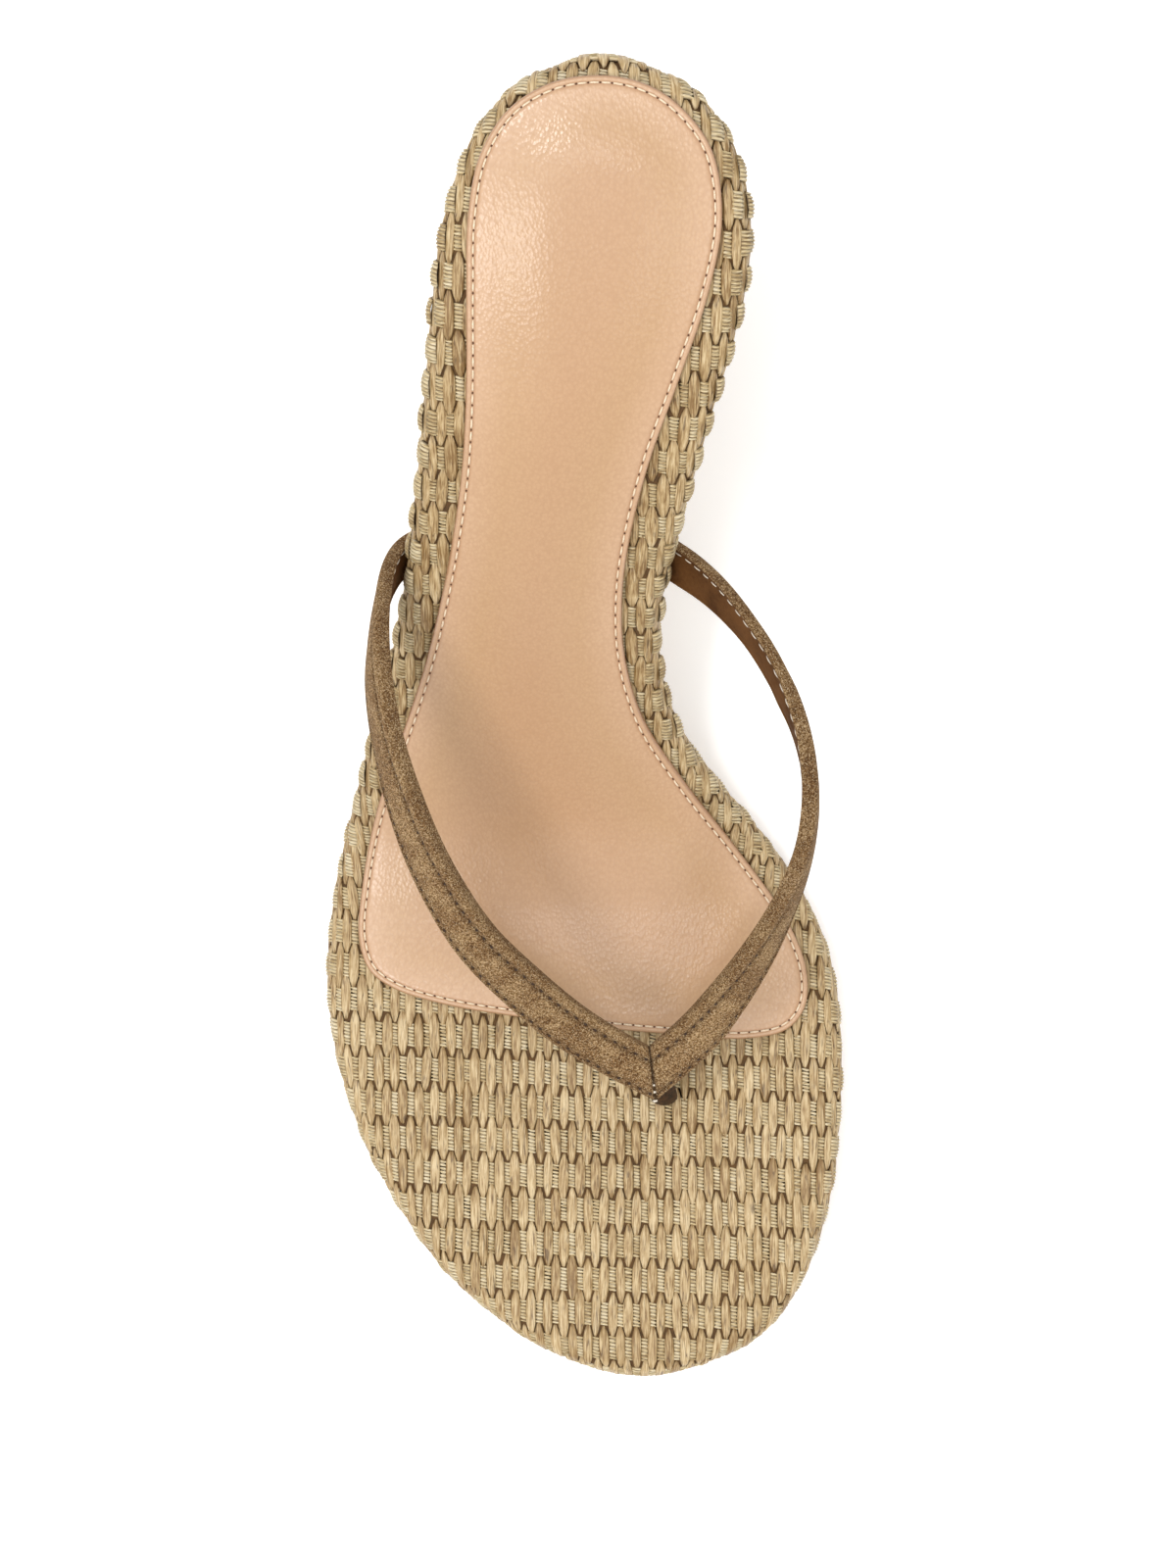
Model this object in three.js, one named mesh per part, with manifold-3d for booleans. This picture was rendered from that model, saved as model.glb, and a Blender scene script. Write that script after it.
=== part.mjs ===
// Thong sandal for the right foot on a woven wedge, as one set of parts.
// Millimetres. Toe toward -Y, big-toe side toward +X, up is +Z, outsole on z = 0.
import * as THREE from 'three';
import { mergeVertices } from 'three/addons/utils/BufferGeometryUtils.js';
import Module from 'manifold-3d';

// Main sizes. The tables below give the shape, and are stretched to these.
const ballWidth = 92.2;
const footprintLength = 219.4;
const heelRise = 74.6;

// Thicknesses of the layers, counted up from the floor.
const outsoleThickness = 2.5;
const boardThickness = 7;
const sockThickness = 1.2;
const fitGap = 0.3;

// The wedge starts behind the ball and stands back under the rim of the board.
const wedgeFrontY = -14;
const rimOverhang = 1;

// Strap: suede over lining, the toe post let into the board.
const strapThickness = 2.6;
const seamOverlap = 0.5;

// Widest line of the board's rim in plan: y, little-toe side x, big-toe side x.
const boardToe = [9.8, -105.0];
const boardHeel = [2.0, 114.4];
const boardEdge = [
  [-103.7, 1.2, 18.0],
  [-99.8, -8.7, 27.9],
  [-95.6, -15.3, 33.2],
  [-87.1, -25.2, 38.9],
  [-78.5, -31.9, 42.1],
  [-69.9, -37.1, 44.1],
  [-61.2, -41.2, 45.1],
  [-52.4, -44.1, 45.5],
  [-43.7, -46.0, 45.3],
  [-35.0, -46.7, 44.3],
  [-26.2, -46.3, 41.8],
  [-17.5, -45.1, 37.5],
  [-8.7, -43.1, 31.2],
  [0.0, -40.7, 23.9],
  [8.6, -38.1, 17.3],
  [16.9, -35.4, 13.6],
  [25.1, -33.1, 12.5],
  [33.0, -31.3, 13.1],
  [40.8, -29.9, 15.0],
  [52.3, -28.1, 18.1],
  [63.5, -26.8, 21.4],
  [74.6, -25.6, 24.5],
  [85.7, -24.1, 26.2],
  [93.0, -22.3, 25.6],
  [100.4, -19.2, 23.3],
  [107.8, -13.9, 18.2],
  [112.2, -7.2, 11.3],
];

// Rise of the board over its own height at the ball: y, rise. The last row is the heel's.
const boardRise = [
  [-112, 6.6],
  [-104, 5.0],
  [-90, 2.6],
  [-75, 0.8],
  [-62, 0.0],
  [-23, 0.0],
  [-14, 1.2],
  [-5, 4.0],
  [3.4, 9.0],
  [13.5, 16.8],
  [25, 26.5],
  [40.6, 39.6],
  [55.7, 50.6],
  [70.5, 59.2],
  [85.2, 65.7],
  [99.8, 70.1],
  [122, 74.6],
];

// How far the foot of the wedge stands in from the rim: y, at the sides, at the ends.
const wallInset = [
  [-112, 2.0, 2.6],
  [-20, 2.0, 2.0],
  [30, 1.7, 1.7],
  [70, 2.6, 2.8],
  [95, 3.6, 6.0],
  [120, 4.0, 9.5],
];

// Leather sock, in plan: little-toe side x, y, big-toe side x, y.
const sockFront = [5.0, -43.5];
const sockHeel = [2.2, 110.3];
const sockEdge = [
  [-6.9, -42.0, 16.0, -44.4],
  [-25.3, -39.1, 28.0, -45.1],
  [-34.7, -36.1, 35.2, -43.5],
  [-38.8, -32.9, 38.4, -39.6],
  [-40.6, -27.0, 38.7, -33.0],
  [-40.0, -18.5, 35.2, -24.0],
  [-38.0, -8.2, 26.6, -12.0],
  [-35.0, 1.0, 17.0, -0.3],
  [-31.6, 9.4, 9.5, 10.8],
  [-27.8, 19.5, 6.2, 21.5],
  [-24.7, 30.1, 5.8, 32.1],
  [-22.4, 40.0, 7.2, 41.5],
  [-20.6, 50.5, 10.0, 52.1],
  [-19.6, 63.0, 14.4, 64.0],
  [-19.3, 78.0, 19.0, 77.2],
  [-18.9, 89.0, 21.1, 89.0],
  [-16.9, 98.4, 19.2, 99.5],
  [-12.2, 105.4, 13.6, 106.3],
  [-5.4, 109.3, 8.4, 109.2],
];

// Strap branches from the sole to the seam over the toes. Each row is one section:
// rear edge x, y, z and front edge x, y, z, heights over the board at the ball.
const lateralBranch = [
  [-21.0, 43.4, 32.4, -21.6, 37.0, 27.2],
  [-27.2, 43.0, 32.0, -28.0, 36.8, 26.8],
  [-30.8, 41.0, 33.4, -31.6, 35.2, 28.0],
  [-32.8, 37.4, 37.6, -33.8, 31.8, 31.6],
  [-33.6, 32.0, 42.6, -35.0, 27.0, 36.0],
  [-33.7, 25.4, 47.2, -35.6, 21.8, 39.8],
  [-33.1, 18.2, 49.9, -35.8, 16.2, 41.9],
  [-31.4, 8.8, 50.2, -35.0, 8.2, 42.3],
  [-27.8, -2.4, 47.0, -32.9, -2.6, 40.0],
  [-23.0, -13.2, 41.6, -29.3, -14.2, 35.9],
  [-15.8, -24.2, 34.0, -22.4, -27.8, 30.2],
  [-7.6, -32.2, 27.9, -13.7, -37.5, 25.3],
  [-0.6, -38.1, 23.2, -5.8, -44.4, 21.3],
  [5.5, -42.2, 20.4, 2.6, -49.8, 18.6],
  [10.5, -45.1, 19.2, 11.7, -54.6, 16.2],
];
const medialBranch = [
  [6.0, 42.8, 31.9, 6.2, 36.4, 26.7],
  [12.2, 42.0, 31.3, 12.4, 35.6, 26.1],
  [15.8, 39.8, 33.2, 16.2, 33.4, 27.8],
  [19.6, 36.4, 37.6, 20.2, 30.4, 31.6],
  [23.2, 32.2, 42.4, 23.7, 26.9, 35.8],
  [26.6, 27.2, 46.4, 26.8, 23.1, 39.1],
  [29.9, 21.8, 49.4, 29.5, 18.7, 41.6],
  [32.8, 15.6, 51.0, 32.0, 14.0, 42.8],
  [34.9, 9.0, 51.2, 34.5, 9.0, 42.9],
  [36.0, 2.4, 50.0, 36.2, 3.8, 41.8],
  [36.1, -4.4, 47.8, 37.1, -1.8, 39.9],
  [35.1, -11.0, 44.8, 37.1, -8.0, 37.3],
  [32.8, -17.2, 41.2, 36.1, -14.6, 34.1],
  [29.3, -23.6, 37.0, 33.9, -22.0, 30.4],
  [25.0, -29.8, 32.0, 30.8, -29.9, 26.2],
  [20.4, -35.4, 26.8, 26.8, -37.6, 22.4],
  [16.2, -40.0, 22.4, 22.0, -44.9, 19.2],
  [10.5, -45.1, 19.2, 11.7, -54.6, 16.2],
];
// Section of a branch: place across it and lift, as shares of half its width and thickness.
const strapSection = [
  [-1, 0], [-0.96, -0.62], [-0.8, -1], [0, -1], [0.8, -1], [0.96, -0.62],
  [1, 0], [0.95, 0.55], [0.74, 0.94], [0, 1], [-0.74, 0.94], [-0.95, 0.55],
];

// Toe post, from inside the seam to inside the board: x, y, z, width, depth.
const toePost = [
  [11.5, -50.6, 16.6, 5.4, 4.6],
  [12.3, -52.4, 12.6, 5.2, 4.0],
  [13.0, -54.0, 8.0, 5.0, 3.6],
  [13.4, -55.0, 3.5, 4.8, 3.4],
  [13.5, -55.4, -1.0, 4.8, 3.4],
  [13.5, -55.4, -5.0, 4.8, 3.4],
];

// How finely the shapes are cut: per table row, round the rim, across the board.
const cutsPerRow = 3;
const rimCuts = 6;
const acrossCuts = 4;
const branchCuts = 3;
const postSides = 14;
const lineCuts = 56;

// Cutting shapes reach past the part, and walls run past the face that trims them.
const cutReach = 400;
const trimRun = 6;

// What stretches the tables to the main sizes, across, along and up.
const drawnWidth = Math.max(...boardEdge.map((row) => row[2]))
  - Math.min(...boardEdge.map((row) => row[1]));
const across = ballWidth / drawnWidth;
const along = footprintLength / (boardHeel[1] - boardToe[1]);
const upward = heelRise / boardRise[boardRise.length - 1][1];
const stretched = (row, factors) => row.map((value, k) => value * factors[k]);
const allStretched = (rows, factors) => rows.map((row) => stretched(row, factors));

const rise = allStretched(boardRise, [along, upward]);
const inset = allStretched(wallInset, [along, 1, 1]);
const branchFactors = [across, along, upward, across, along, upward];

const boardMidAtBall = outsoleThickness + fitGap + boardThickness / 2;
const bedAtBall = boardMidAtBall + boardThickness / 2;

const wasm = await Module();
wasm.setup();

// Smooth value of a table column at any y.
function valueAt(table, column, y) {
  let k = table.findIndex((row) => row[0] > y);
  if (k < 0) {
    k = table.length - 1;
  }
  k = Math.max(k, 1);
  const slopeAt = (i) => {
    const before = table[Math.max(i - 1, 0)];
    const after = table[Math.min(i + 1, table.length - 1)];
    return (after[column] - before[column]) / (after[0] - before[0]);
  };
  const span = table[k][0] - table[k - 1][0];
  const t = (y - table[k - 1][0]) / span;
  const start = table[k - 1][column];
  const end = table[k][column];
  const startPull = slopeAt(k - 1) * span;
  const endPull = slopeAt(k) * span;
  const change = end - start;
  return start + startPull * t + (3 * change - 2 * startPull - endPull) * t * t
    + (startPull + endPull - 2 * change) * t * t * t;
}

// A point at a distance above (or below) the middle of the board.
function bedPoint(x, y, above) {
  const step = 0.5;
  const slope = (valueAt(rise, 1, y + step) - valueAt(rise, 1, y - step)) / (2 * step);
  const length = Math.hypot(slope, 1);
  const z = boardMidAtBall + valueAt(rise, 1, y);
  return new THREE.Vector3(x, y - above * slope / length, z + above / length);
}

// Plan outline as two chains of points, toe to heel, that pair up across the sole.
function planChains(rows, toe, heel) {
  const point = ([x, y]) => new THREE.Vector3(x, y, 0);
  const lateral = rows.map((row) => point([row[1], row[0]]));
  const medial = rows.map((row) => point([row[2], row[0]])).reverse();
  const knots = [point(toe), ...lateral, point(heel), ...medial];
  const curve = new THREE.CatmullRomCurve3(knots, true, 'centripetal');
  const count = (rows.length + 1) * Math.round(cutsPerRow);
  const left = [];
  const right = [];
  for (let i = 0; i <= count; i += 1) {
    left.push(curve.getPoint(i / count / 2));
    right.push(curve.getPoint((1 - i / count / 2) % 1));
  }
  return { left, right };
}

// Closed ring round the two chains, with the outward direction in plan at each point.
function ringOf({ left, right }) {
  const ring = [...right, ...left.slice(1, -1).reverse()];
  return ring.map((here, k) => {
    const before = ring[(k + ring.length - 1) % ring.length];
    const after = ring[(k + 1) % ring.length];
    const heading = after.clone().sub(before).normalize();
    return { x: here.x, y: here.y, outX: heading.y, outY: -heading.x };
  });
}

// Closed body through rings of points. Rows across the first and last ring close it.
function bodyThroughRings(rings) {
  const spans = Math.round(acrossCuts);
  const vertices = [];
  const triangle = (a, b, c) => {
    const area = b.clone().sub(a).cross(c.clone().sub(a)).length();
    if (area > 1e-7) {
      vertices.push(...a.toArray(), ...b.toArray(), ...c.toArray());
    }
  };
  const strip = (lower, upper) => {
    for (let k = 0; k + 1 < lower.length; k += 1) {
      triangle(lower[k], lower[k + 1], upper[k + 1]);
      triangle(lower[k], upper[k + 1], upper[k]);
    }
  };
  const looped = (ring) => [...ring, ring[0]];
  for (let k = 0; k + 1 < rings.length; k += 1) {
    strip(looped(rings[k + 1]), looped(rings[k]));
  }
  const close = (ring, facesUp) => {
    const half = ring.length / 2;
    let before = null;
    for (let i = 0; i <= half; i += 1) {
      const onRight = ring[i];
      const onLeft = ring[(ring.length - i) % ring.length];
      const row = [];
      for (let k = 0; k <= spans; k += 1) {
        row.push(onLeft.clone().lerp(onRight, k / spans));
      }
      if (before) {
        strip(facesUp ? before : row, facesUp ? row : before);
      }
      before = row;
    }
  };
  close(rings[0], true);
  close(rings[rings.length - 1], false);
  const soup = new THREE.BufferGeometry();
  soup.setAttribute('position', new THREE.Float32BufferAttribute(vertices, 3));
  return mergeVertices(soup, 1e-4);
}

function solidOf(geometry) {
  const bare = geometry.clone();
  bare.deleteAttribute('normal');
  bare.deleteAttribute('uv');
  const welded = mergeVertices(bare, 1e-4);
  const vertProperties = new Float32Array(welded.attributes.position.array);
  const triVerts = new Uint32Array(welded.index.array);
  return new wasm.Manifold(new wasm.Mesh({ numProp: 3, vertProperties, triVerts }));
}

function geometryOf(solid) {
  const mesh = solid.getMesh();
  const geometry = new THREE.BufferGeometry();
  geometry.setAttribute('position', new THREE.BufferAttribute(mesh.vertProperties, 3));
  geometry.setIndex(new THREE.BufferAttribute(mesh.triVerts, 1));
  geometry.computeVertexNormals();
  return geometry;
}

// Everything straight above and below a plan outline.
function prismOver(points) {
  const shape = new THREE.Shape(points.map((p) => new THREE.Vector2(p.x, p.y)));
  const geometry = new THREE.ExtrudeGeometry(shape, { depth: cutReach, bevelEnabled: false });
  geometry.translate(0, 0, -cutReach / 2);
  return solidOf(geometry);
}

// Layer between an upper and a lower line in side view, as wide as needed.
function layerBetween(upper, lower) {
  const outline = [...lower, ...upper.slice().reverse()];
  const shape = new THREE.Shape(outline.map((p) => new THREE.Vector2(p.y, p.z)));
  const geometry = new THREE.ExtrudeGeometry(shape, { depth: cutReach, bevelEnabled: false });
  const turn = new THREE.Matrix4().makeBasis(
    new THREE.Vector3(0, 1, 0),
    new THREE.Vector3(0, 0, 1),
    new THREE.Vector3(1, 0, 0),
  );
  geometry.translate(0, 0, -cutReach / 2);
  geometry.applyMatrix4(turn);
  return solidOf(geometry);
}

// Side-view line that follows the board at a distance from its middle.
function bedLine(above, fromY, toY) {
  const cuts = Math.round(lineCuts);
  const line = [];
  for (let i = 0; i <= cuts; i += 1) {
    line.push(bedPoint(0, fromY + (toY - fromY) * i / cuts, above));
  }
  return line;
}

const boardRing = ringOf(planChains(
  allStretched(boardEdge, [along, across, across]),
  stretched(boardToe, [across, along]),
  stretched(boardHeel, [across, along]),
));
const board = { start: rise[0][0], end: rise[rise.length - 1][0] };
const underBoard = -boardThickness / 2 - fitGap;

function makeBoard() {
  const radius = boardThickness / 2;
  const cuts = Math.round(rimCuts);
  const rings = [];
  for (let k = 0; k <= cuts; k += 1) {
    const angle = Math.PI / 2 - Math.PI * k / cuts;
    const inward = radius * (1 - Math.cos(angle));
    const above = radius * Math.sin(angle);
    rings.push(boardRing.map((p) => bedPoint(p.x - p.outX * inward, p.y - p.outY * inward, above)));
  }
  return solidOf(bodyThroughRings(rings));
}

// Foot of the walls: the rim outline drawn in.
function footOutline() {
  return boardRing.map((p) => {
    const side = valueAt(inset, 1, p.y) * p.outX * p.outX;
    const end = valueAt(inset, 2, p.y) * p.outY * p.outY;
    return new THREE.Vector3(p.x - p.outX * (side + end), p.y - p.outY * (side + end), 0);
  });
}

function makeOutsole() {
  const top = bedLine(underBoard, board.start, wedgeFrontY - trimRun);
  top.forEach((p) => p.setZ(Math.max(p.z, outsoleThickness)));
  top.push(new THREE.Vector3(0, board.end, outsoleThickness));
  const bottom = top.map((p) => new THREE.Vector3(0, p.y, p.z - outsoleThickness));
  return layerBetween(top, bottom).intersect(prismOver(footOutline()));
}

function makeWedge() {
  const floor = outsoleThickness + fitGap;
  const crown = boardRing.map((p) => {
    const x = p.x - p.outX * rimOverhang;
    const y = p.y - p.outY * rimOverhang;
    return new THREE.Vector3(x, y, bedPoint(x, y, underBoard).z + trimRun);
  });
  const foot = footOutline().map((p) => new THREE.Vector3(p.x, p.y, floor));
  const walls = solidOf(bodyThroughRings([crown, foot]));
  const top = bedLine(underBoard, wedgeFrontY - trimRun, board.end);
  const ground = top.map((p) => new THREE.Vector3(0, p.y, -trimRun));
  const front = new THREE.BoxGeometry(cutReach, cutReach, cutReach);
  front.translate(0, wedgeFrontY - cutReach / 2, 0);
  return walls.intersect(layerBetween(top, ground)).subtract(solidOf(front));
}

function makeSock() {
  const point = (x, y) => new THREE.Vector3(x, y, 0);
  const rows = allStretched(sockEdge, [across, along, across, along]);
  const lateral = rows.map((row) => point(row[0], row[1]));
  const medial = rows.map((row) => point(row[2], row[3])).reverse();
  const front = point(...stretched(sockFront, [across, along]));
  const heel = point(...stretched(sockHeel, [across, along]));
  const knots = [front, ...lateral, heel, ...medial];
  const curve = new THREE.CatmullRomCurve3(knots, true, 'centripetal');
  const outline = curve.getPoints(knots.length * Math.round(cutsPerRow)).slice(0, -1).reverse();
  const under = boardThickness / 2 + fitGap;
  const upper = bedLine(under + sockThickness, board.start, board.end);
  const lower = bedLine(under, board.start, board.end);
  return layerBetween(upper, lower).intersect(prismOver(outline));
}

// Rings of a ribbon along a table of edge pairs, its section grown by `extra` all round.
function branchRings(rows, outerSide, extra) {
  const rear = rows.map((r) => new THREE.Vector3(r[0], r[1], r[2] + bedAtBall));
  const front = rows.map((r) => new THREE.Vector3(r[3], r[4], r[5] + bedAtBall));
  const rearCurve = new THREE.CatmullRomCurve3(rear, false, 'centripetal');
  const frontCurve = new THREE.CatmullRomCurve3(front, false, 'centripetal');
  const middleAt = (t) => rearCurve.getPoint(t).lerp(frontCurve.getPoint(t), 0.5);
  const count = (rows.length - 1) * Math.round(branchCuts);
  const rings = [];
  for (let i = 0; i <= count; i += 1) {
    const t = i / count;
    const ahead = middleAt(Math.min(t + 0.004, 1));
    const heading = ahead.sub(middleAt(Math.max(t - 0.004, 0))).normalize();
    const half = frontCurve.getPoint(t).sub(rearCurve.getPoint(t)).multiplyScalar(0.5);
    const lift = half.clone().cross(heading).normalize().multiplyScalar(outerSide);
    const middle = middleAt(t);
    if (i === count) {
      middle.addScaledVector(heading, seamOverlap);
    }
    if (i === 0) {
      middle.addScaledVector(heading, -extra);
    }
    half.setLength(half.length() + extra);
    lift.setLength(strapThickness / 2 + extra);
    rings.push(strapSection.map(([sideways, up]) => (
      middle.clone().addScaledVector(half, sideways).addScaledVector(lift, up)
    )));
  }
  return rings;
}

// Closed tube through rings, whichever way round they run.
function tubeThrough(rings) {
  const count = rings[0].length;
  const positions = rings.flat().flatMap((p) => p.toArray());
  const index = [];
  for (let i = 0; i + 1 < rings.length; i += 1) {
    for (let k = 0; k < count; k += 1) {
      const a = i * count + k;
      const b = i * count + (k + 1) % count;
      index.push(a, b, b + count, a, b + count, a + count);
    }
  }
  const last = (rings.length - 1) * count;
  for (let k = 1; k + 1 < count; k += 1) {
    index.push(0, k + 1, k);
    index.push(last, last + k, last + k + 1);
  }
  const geometry = new THREE.BufferGeometry();
  geometry.setAttribute('position', new THREE.Float32BufferAttribute(positions, 3));
  geometry.setIndex(index);
  const solid = solidOf(geometry);
  if (solid.volume() > 0) {
    return solid;
  }
  geometry.setIndex(index.slice().reverse());
  return solidOf(geometry);
}

function makePost(extra) {
  const sides = Math.round(postSides);
  const rows = allStretched(toePost, [across, along, upward, 1, 1]);
  const rings = rows.map(([x, y, z, width, depth], k) => {
    const deeper = k === toePost.length - 1 ? extra : 0;
    const ring = [];
    for (let i = 0; i < sides; i += 1) {
      const angle = 2 * Math.PI * i / sides;
      ring.push(new THREE.Vector3(
        x + (width / 2 + extra) * Math.cos(angle),
        y + (depth / 2 + extra) * Math.sin(angle),
        z + bedAtBall - deeper,
      ));
    }
    return ring;
  });
  return tubeThrough(rings);
}

function makeStrap(extra) {
  const lateral = tubeThrough(branchRings(allStretched(lateralBranch, branchFactors), 1, extra));
  const medial = tubeThrough(branchRings(allStretched(medialBranch, branchFactors), -1, extra));
  return lateral.add(medial).add(makePost(extra));
}

const strapRoom = makeStrap(fitGap);
const straw = new THREE.MeshStandardMaterial({ color: 0xc2a67c, roughness: 0.85, metalness: 0 });
const nude = new THREE.MeshStandardMaterial({ color: 0xdcb28f, roughness: 0.45, metalness: 0 });
const suede = new THREE.MeshStandardMaterial({ color: 0x96724e, roughness: 0.95, metalness: 0 });
const tan = new THREE.MeshStandardMaterial({ color: 0xb08a62, roughness: 0.6, metalness: 0 });

const group = new THREE.Group();
function addPart(name, solid, material) {
  const mesh = new THREE.Mesh(geometryOf(solid), material);
  mesh.name = name;
  group.add(mesh);
}
addPart('outsole', makeOutsole(), tan);
addPart('wedge_heel', makeWedge().subtract(strapRoom), straw);
addPart('footbed_board', makeBoard().subtract(strapRoom), straw.clone());
addPart('sock', makeSock(), nude);
addPart('strap_upper', makeStrap(0), suede);

// The origin goes to the middle of the footprint, on the floor.
const centre = new THREE.Box3().setFromObject(group).getCenter(new THREE.Vector3());
group.children.forEach((mesh) => mesh.geometry.translate(-centre.x, -centre.y, 0));

export default group;
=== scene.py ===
import bpy
import math
import numpy as np
from mathutils import Matrix, Vector


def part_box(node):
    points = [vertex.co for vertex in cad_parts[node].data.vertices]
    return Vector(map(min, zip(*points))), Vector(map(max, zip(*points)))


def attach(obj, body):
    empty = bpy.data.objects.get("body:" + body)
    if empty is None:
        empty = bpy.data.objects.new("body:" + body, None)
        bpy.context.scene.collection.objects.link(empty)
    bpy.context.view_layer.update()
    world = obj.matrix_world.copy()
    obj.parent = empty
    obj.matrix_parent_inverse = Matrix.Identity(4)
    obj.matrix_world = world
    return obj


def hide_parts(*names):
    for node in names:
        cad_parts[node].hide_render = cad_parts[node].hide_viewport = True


# Right-foot thong sandal on a woven straw wedge.
# Tables are in millimetres, in the same drawing as the solids: toe toward -Y, big toe toward +X.
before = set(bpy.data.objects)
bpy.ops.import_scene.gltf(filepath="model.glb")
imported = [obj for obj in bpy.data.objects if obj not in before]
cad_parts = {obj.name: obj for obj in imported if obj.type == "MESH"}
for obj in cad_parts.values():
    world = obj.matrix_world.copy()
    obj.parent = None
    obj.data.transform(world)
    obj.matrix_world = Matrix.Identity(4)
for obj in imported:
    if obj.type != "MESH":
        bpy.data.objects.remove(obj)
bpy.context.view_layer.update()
mm = 0.001

sole = {
    "outsoleThickness": 2.5,
    "boardThickness": 7.0,
    "fitGap": 0.3,
    "wedgeFrontY": -14.0,
    "rimOverhang": 1.0,
    "wallIntoBoard": 6.0,  # the wall's lean is laid out as if it went on this far over its top
    "wallTopGap": 0.1,
}
# how many points the outlines and lines are cut to, and how many places are looked up at once
fineness = {
    "outline": 4000, "rim": 1200, "sock": 420, "sockSeam": 1600, "bedLine": 2400, "strapRow": 800,
    "lookup": 4000,
}
rimRadius = sole["boardThickness"] / 2
boardMid = sole["outsoleThickness"] + sole["fitGap"] + rimRadius
bedAtBall = boardMid + rimRadius
underBoard = -rimRadius - sole["fitGap"]

boardToe = [9.8, -105.0]
boardHeel = [2.0, 114.4]
boardEdge = [  # y, little-toe side x, big-toe side x
    [-103.7, 1.2, 18.0], [-99.8, -8.7, 27.9], [-95.6, -15.3, 33.2], [-87.1, -25.2, 38.9],
    [-78.5, -31.9, 42.1], [-69.9, -37.1, 44.1], [-61.2, -41.2, 45.1], [-52.4, -44.1, 45.5],
    [-43.7, -46.0, 45.3], [-35.0, -46.7, 44.3], [-26.2, -46.3, 41.8], [-17.5, -45.1, 37.5],
    [-8.7, -43.1, 31.2], [0.0, -40.7, 23.9], [8.6, -38.1, 17.3], [16.9, -35.4, 13.6],
    [25.1, -33.1, 12.5], [33.0, -31.3, 13.1], [40.8, -29.9, 15.0], [52.3, -28.1, 18.1],
    [63.5, -26.8, 21.4], [74.6, -25.6, 24.5], [85.7, -24.1, 26.2], [93.0, -22.3, 25.6],
    [100.4, -19.2, 23.3], [107.8, -13.9, 18.2], [112.2, -7.2, 11.3],
]
boardRise = [  # y, rise over the ball
    [-112, 6.6], [-104, 5.0], [-90, 2.6], [-75, 0.8], [-62, 0.0], [-23, 0.0], [-14, 1.2],
    [-5, 4.0], [3.4, 9.0], [13.5, 16.8], [25, 26.5], [40.6, 39.6], [55.7, 50.6],
    [70.5, 59.2], [85.2, 65.7], [99.8, 70.1], [122, 74.6],
]
wallInset = [  # y, at the sides, at the ends
    [-112, 2.0, 2.6], [-20, 2.0, 2.0], [30, 1.7, 1.7], [70, 2.6, 2.8], [95, 3.6, 6.0], [120, 4.0, 9.5],
]
sockFront = [5.0, -43.5]
sockHeel = [2.2, 110.3]
sockEdge = [  # little-toe side x, y, big-toe side x, y
    [-6.9, -42.0, 16.0, -44.4], [-25.3, -39.1, 28.0, -45.1], [-34.7, -36.1, 35.2, -43.5],
    [-38.8, -32.9, 38.4, -39.6], [-40.6, -27.0, 38.7, -33.0], [-40.0, -18.5, 35.2, -24.0],
    [-38.0, -8.2, 26.6, -12.0], [-35.0, 1.0, 17.0, -0.3], [-31.6, 9.4, 9.5, 10.8],
    [-27.8, 19.5, 6.2, 21.5], [-24.7, 30.1, 5.8, 32.1], [-22.4, 40.0, 7.2, 41.5],
    [-20.6, 50.5, 10.0, 52.1], [-19.6, 63.0, 14.4, 64.0], [-19.3, 78.0, 19.0, 77.2],
    [-18.9, 89.0, 21.1, 89.0], [-16.9, 98.4, 19.2, 99.5], [-12.2, 105.4, 13.6, 106.3],
    [-5.4, 109.3, 8.4, 109.2],
]
lateralBranch = [  # rear edge x, y, z and front edge x, y, z, heights over the bed at the ball
    [-21.0, 43.4, 32.4, -21.6, 37.0, 27.2], [-27.2, 43.0, 32.0, -28.0, 36.8, 26.8],
    [-30.8, 41.0, 33.4, -31.6, 35.2, 28.0], [-32.8, 37.4, 37.6, -33.8, 31.8, 31.6],
    [-33.6, 32.0, 42.6, -35.0, 27.0, 36.0], [-33.7, 25.4, 47.2, -35.6, 21.8, 39.8],
    [-33.1, 18.2, 49.9, -35.8, 16.2, 41.9], [-31.4, 8.8, 50.2, -35.0, 8.2, 42.3],
    [-27.8, -2.4, 47.0, -32.9, -2.6, 40.0], [-23.0, -13.2, 41.6, -29.3, -14.2, 35.9],
    [-15.8, -24.2, 34.0, -22.4, -27.8, 30.2], [-7.6, -32.2, 27.9, -13.7, -37.5, 25.3],
    [-0.6, -38.1, 23.2, -5.8, -44.4, 21.3], [5.5, -42.2, 20.4, 2.6, -49.8, 18.6],
    [10.5, -45.1, 19.2, 11.7, -54.6, 16.2],
]
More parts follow.
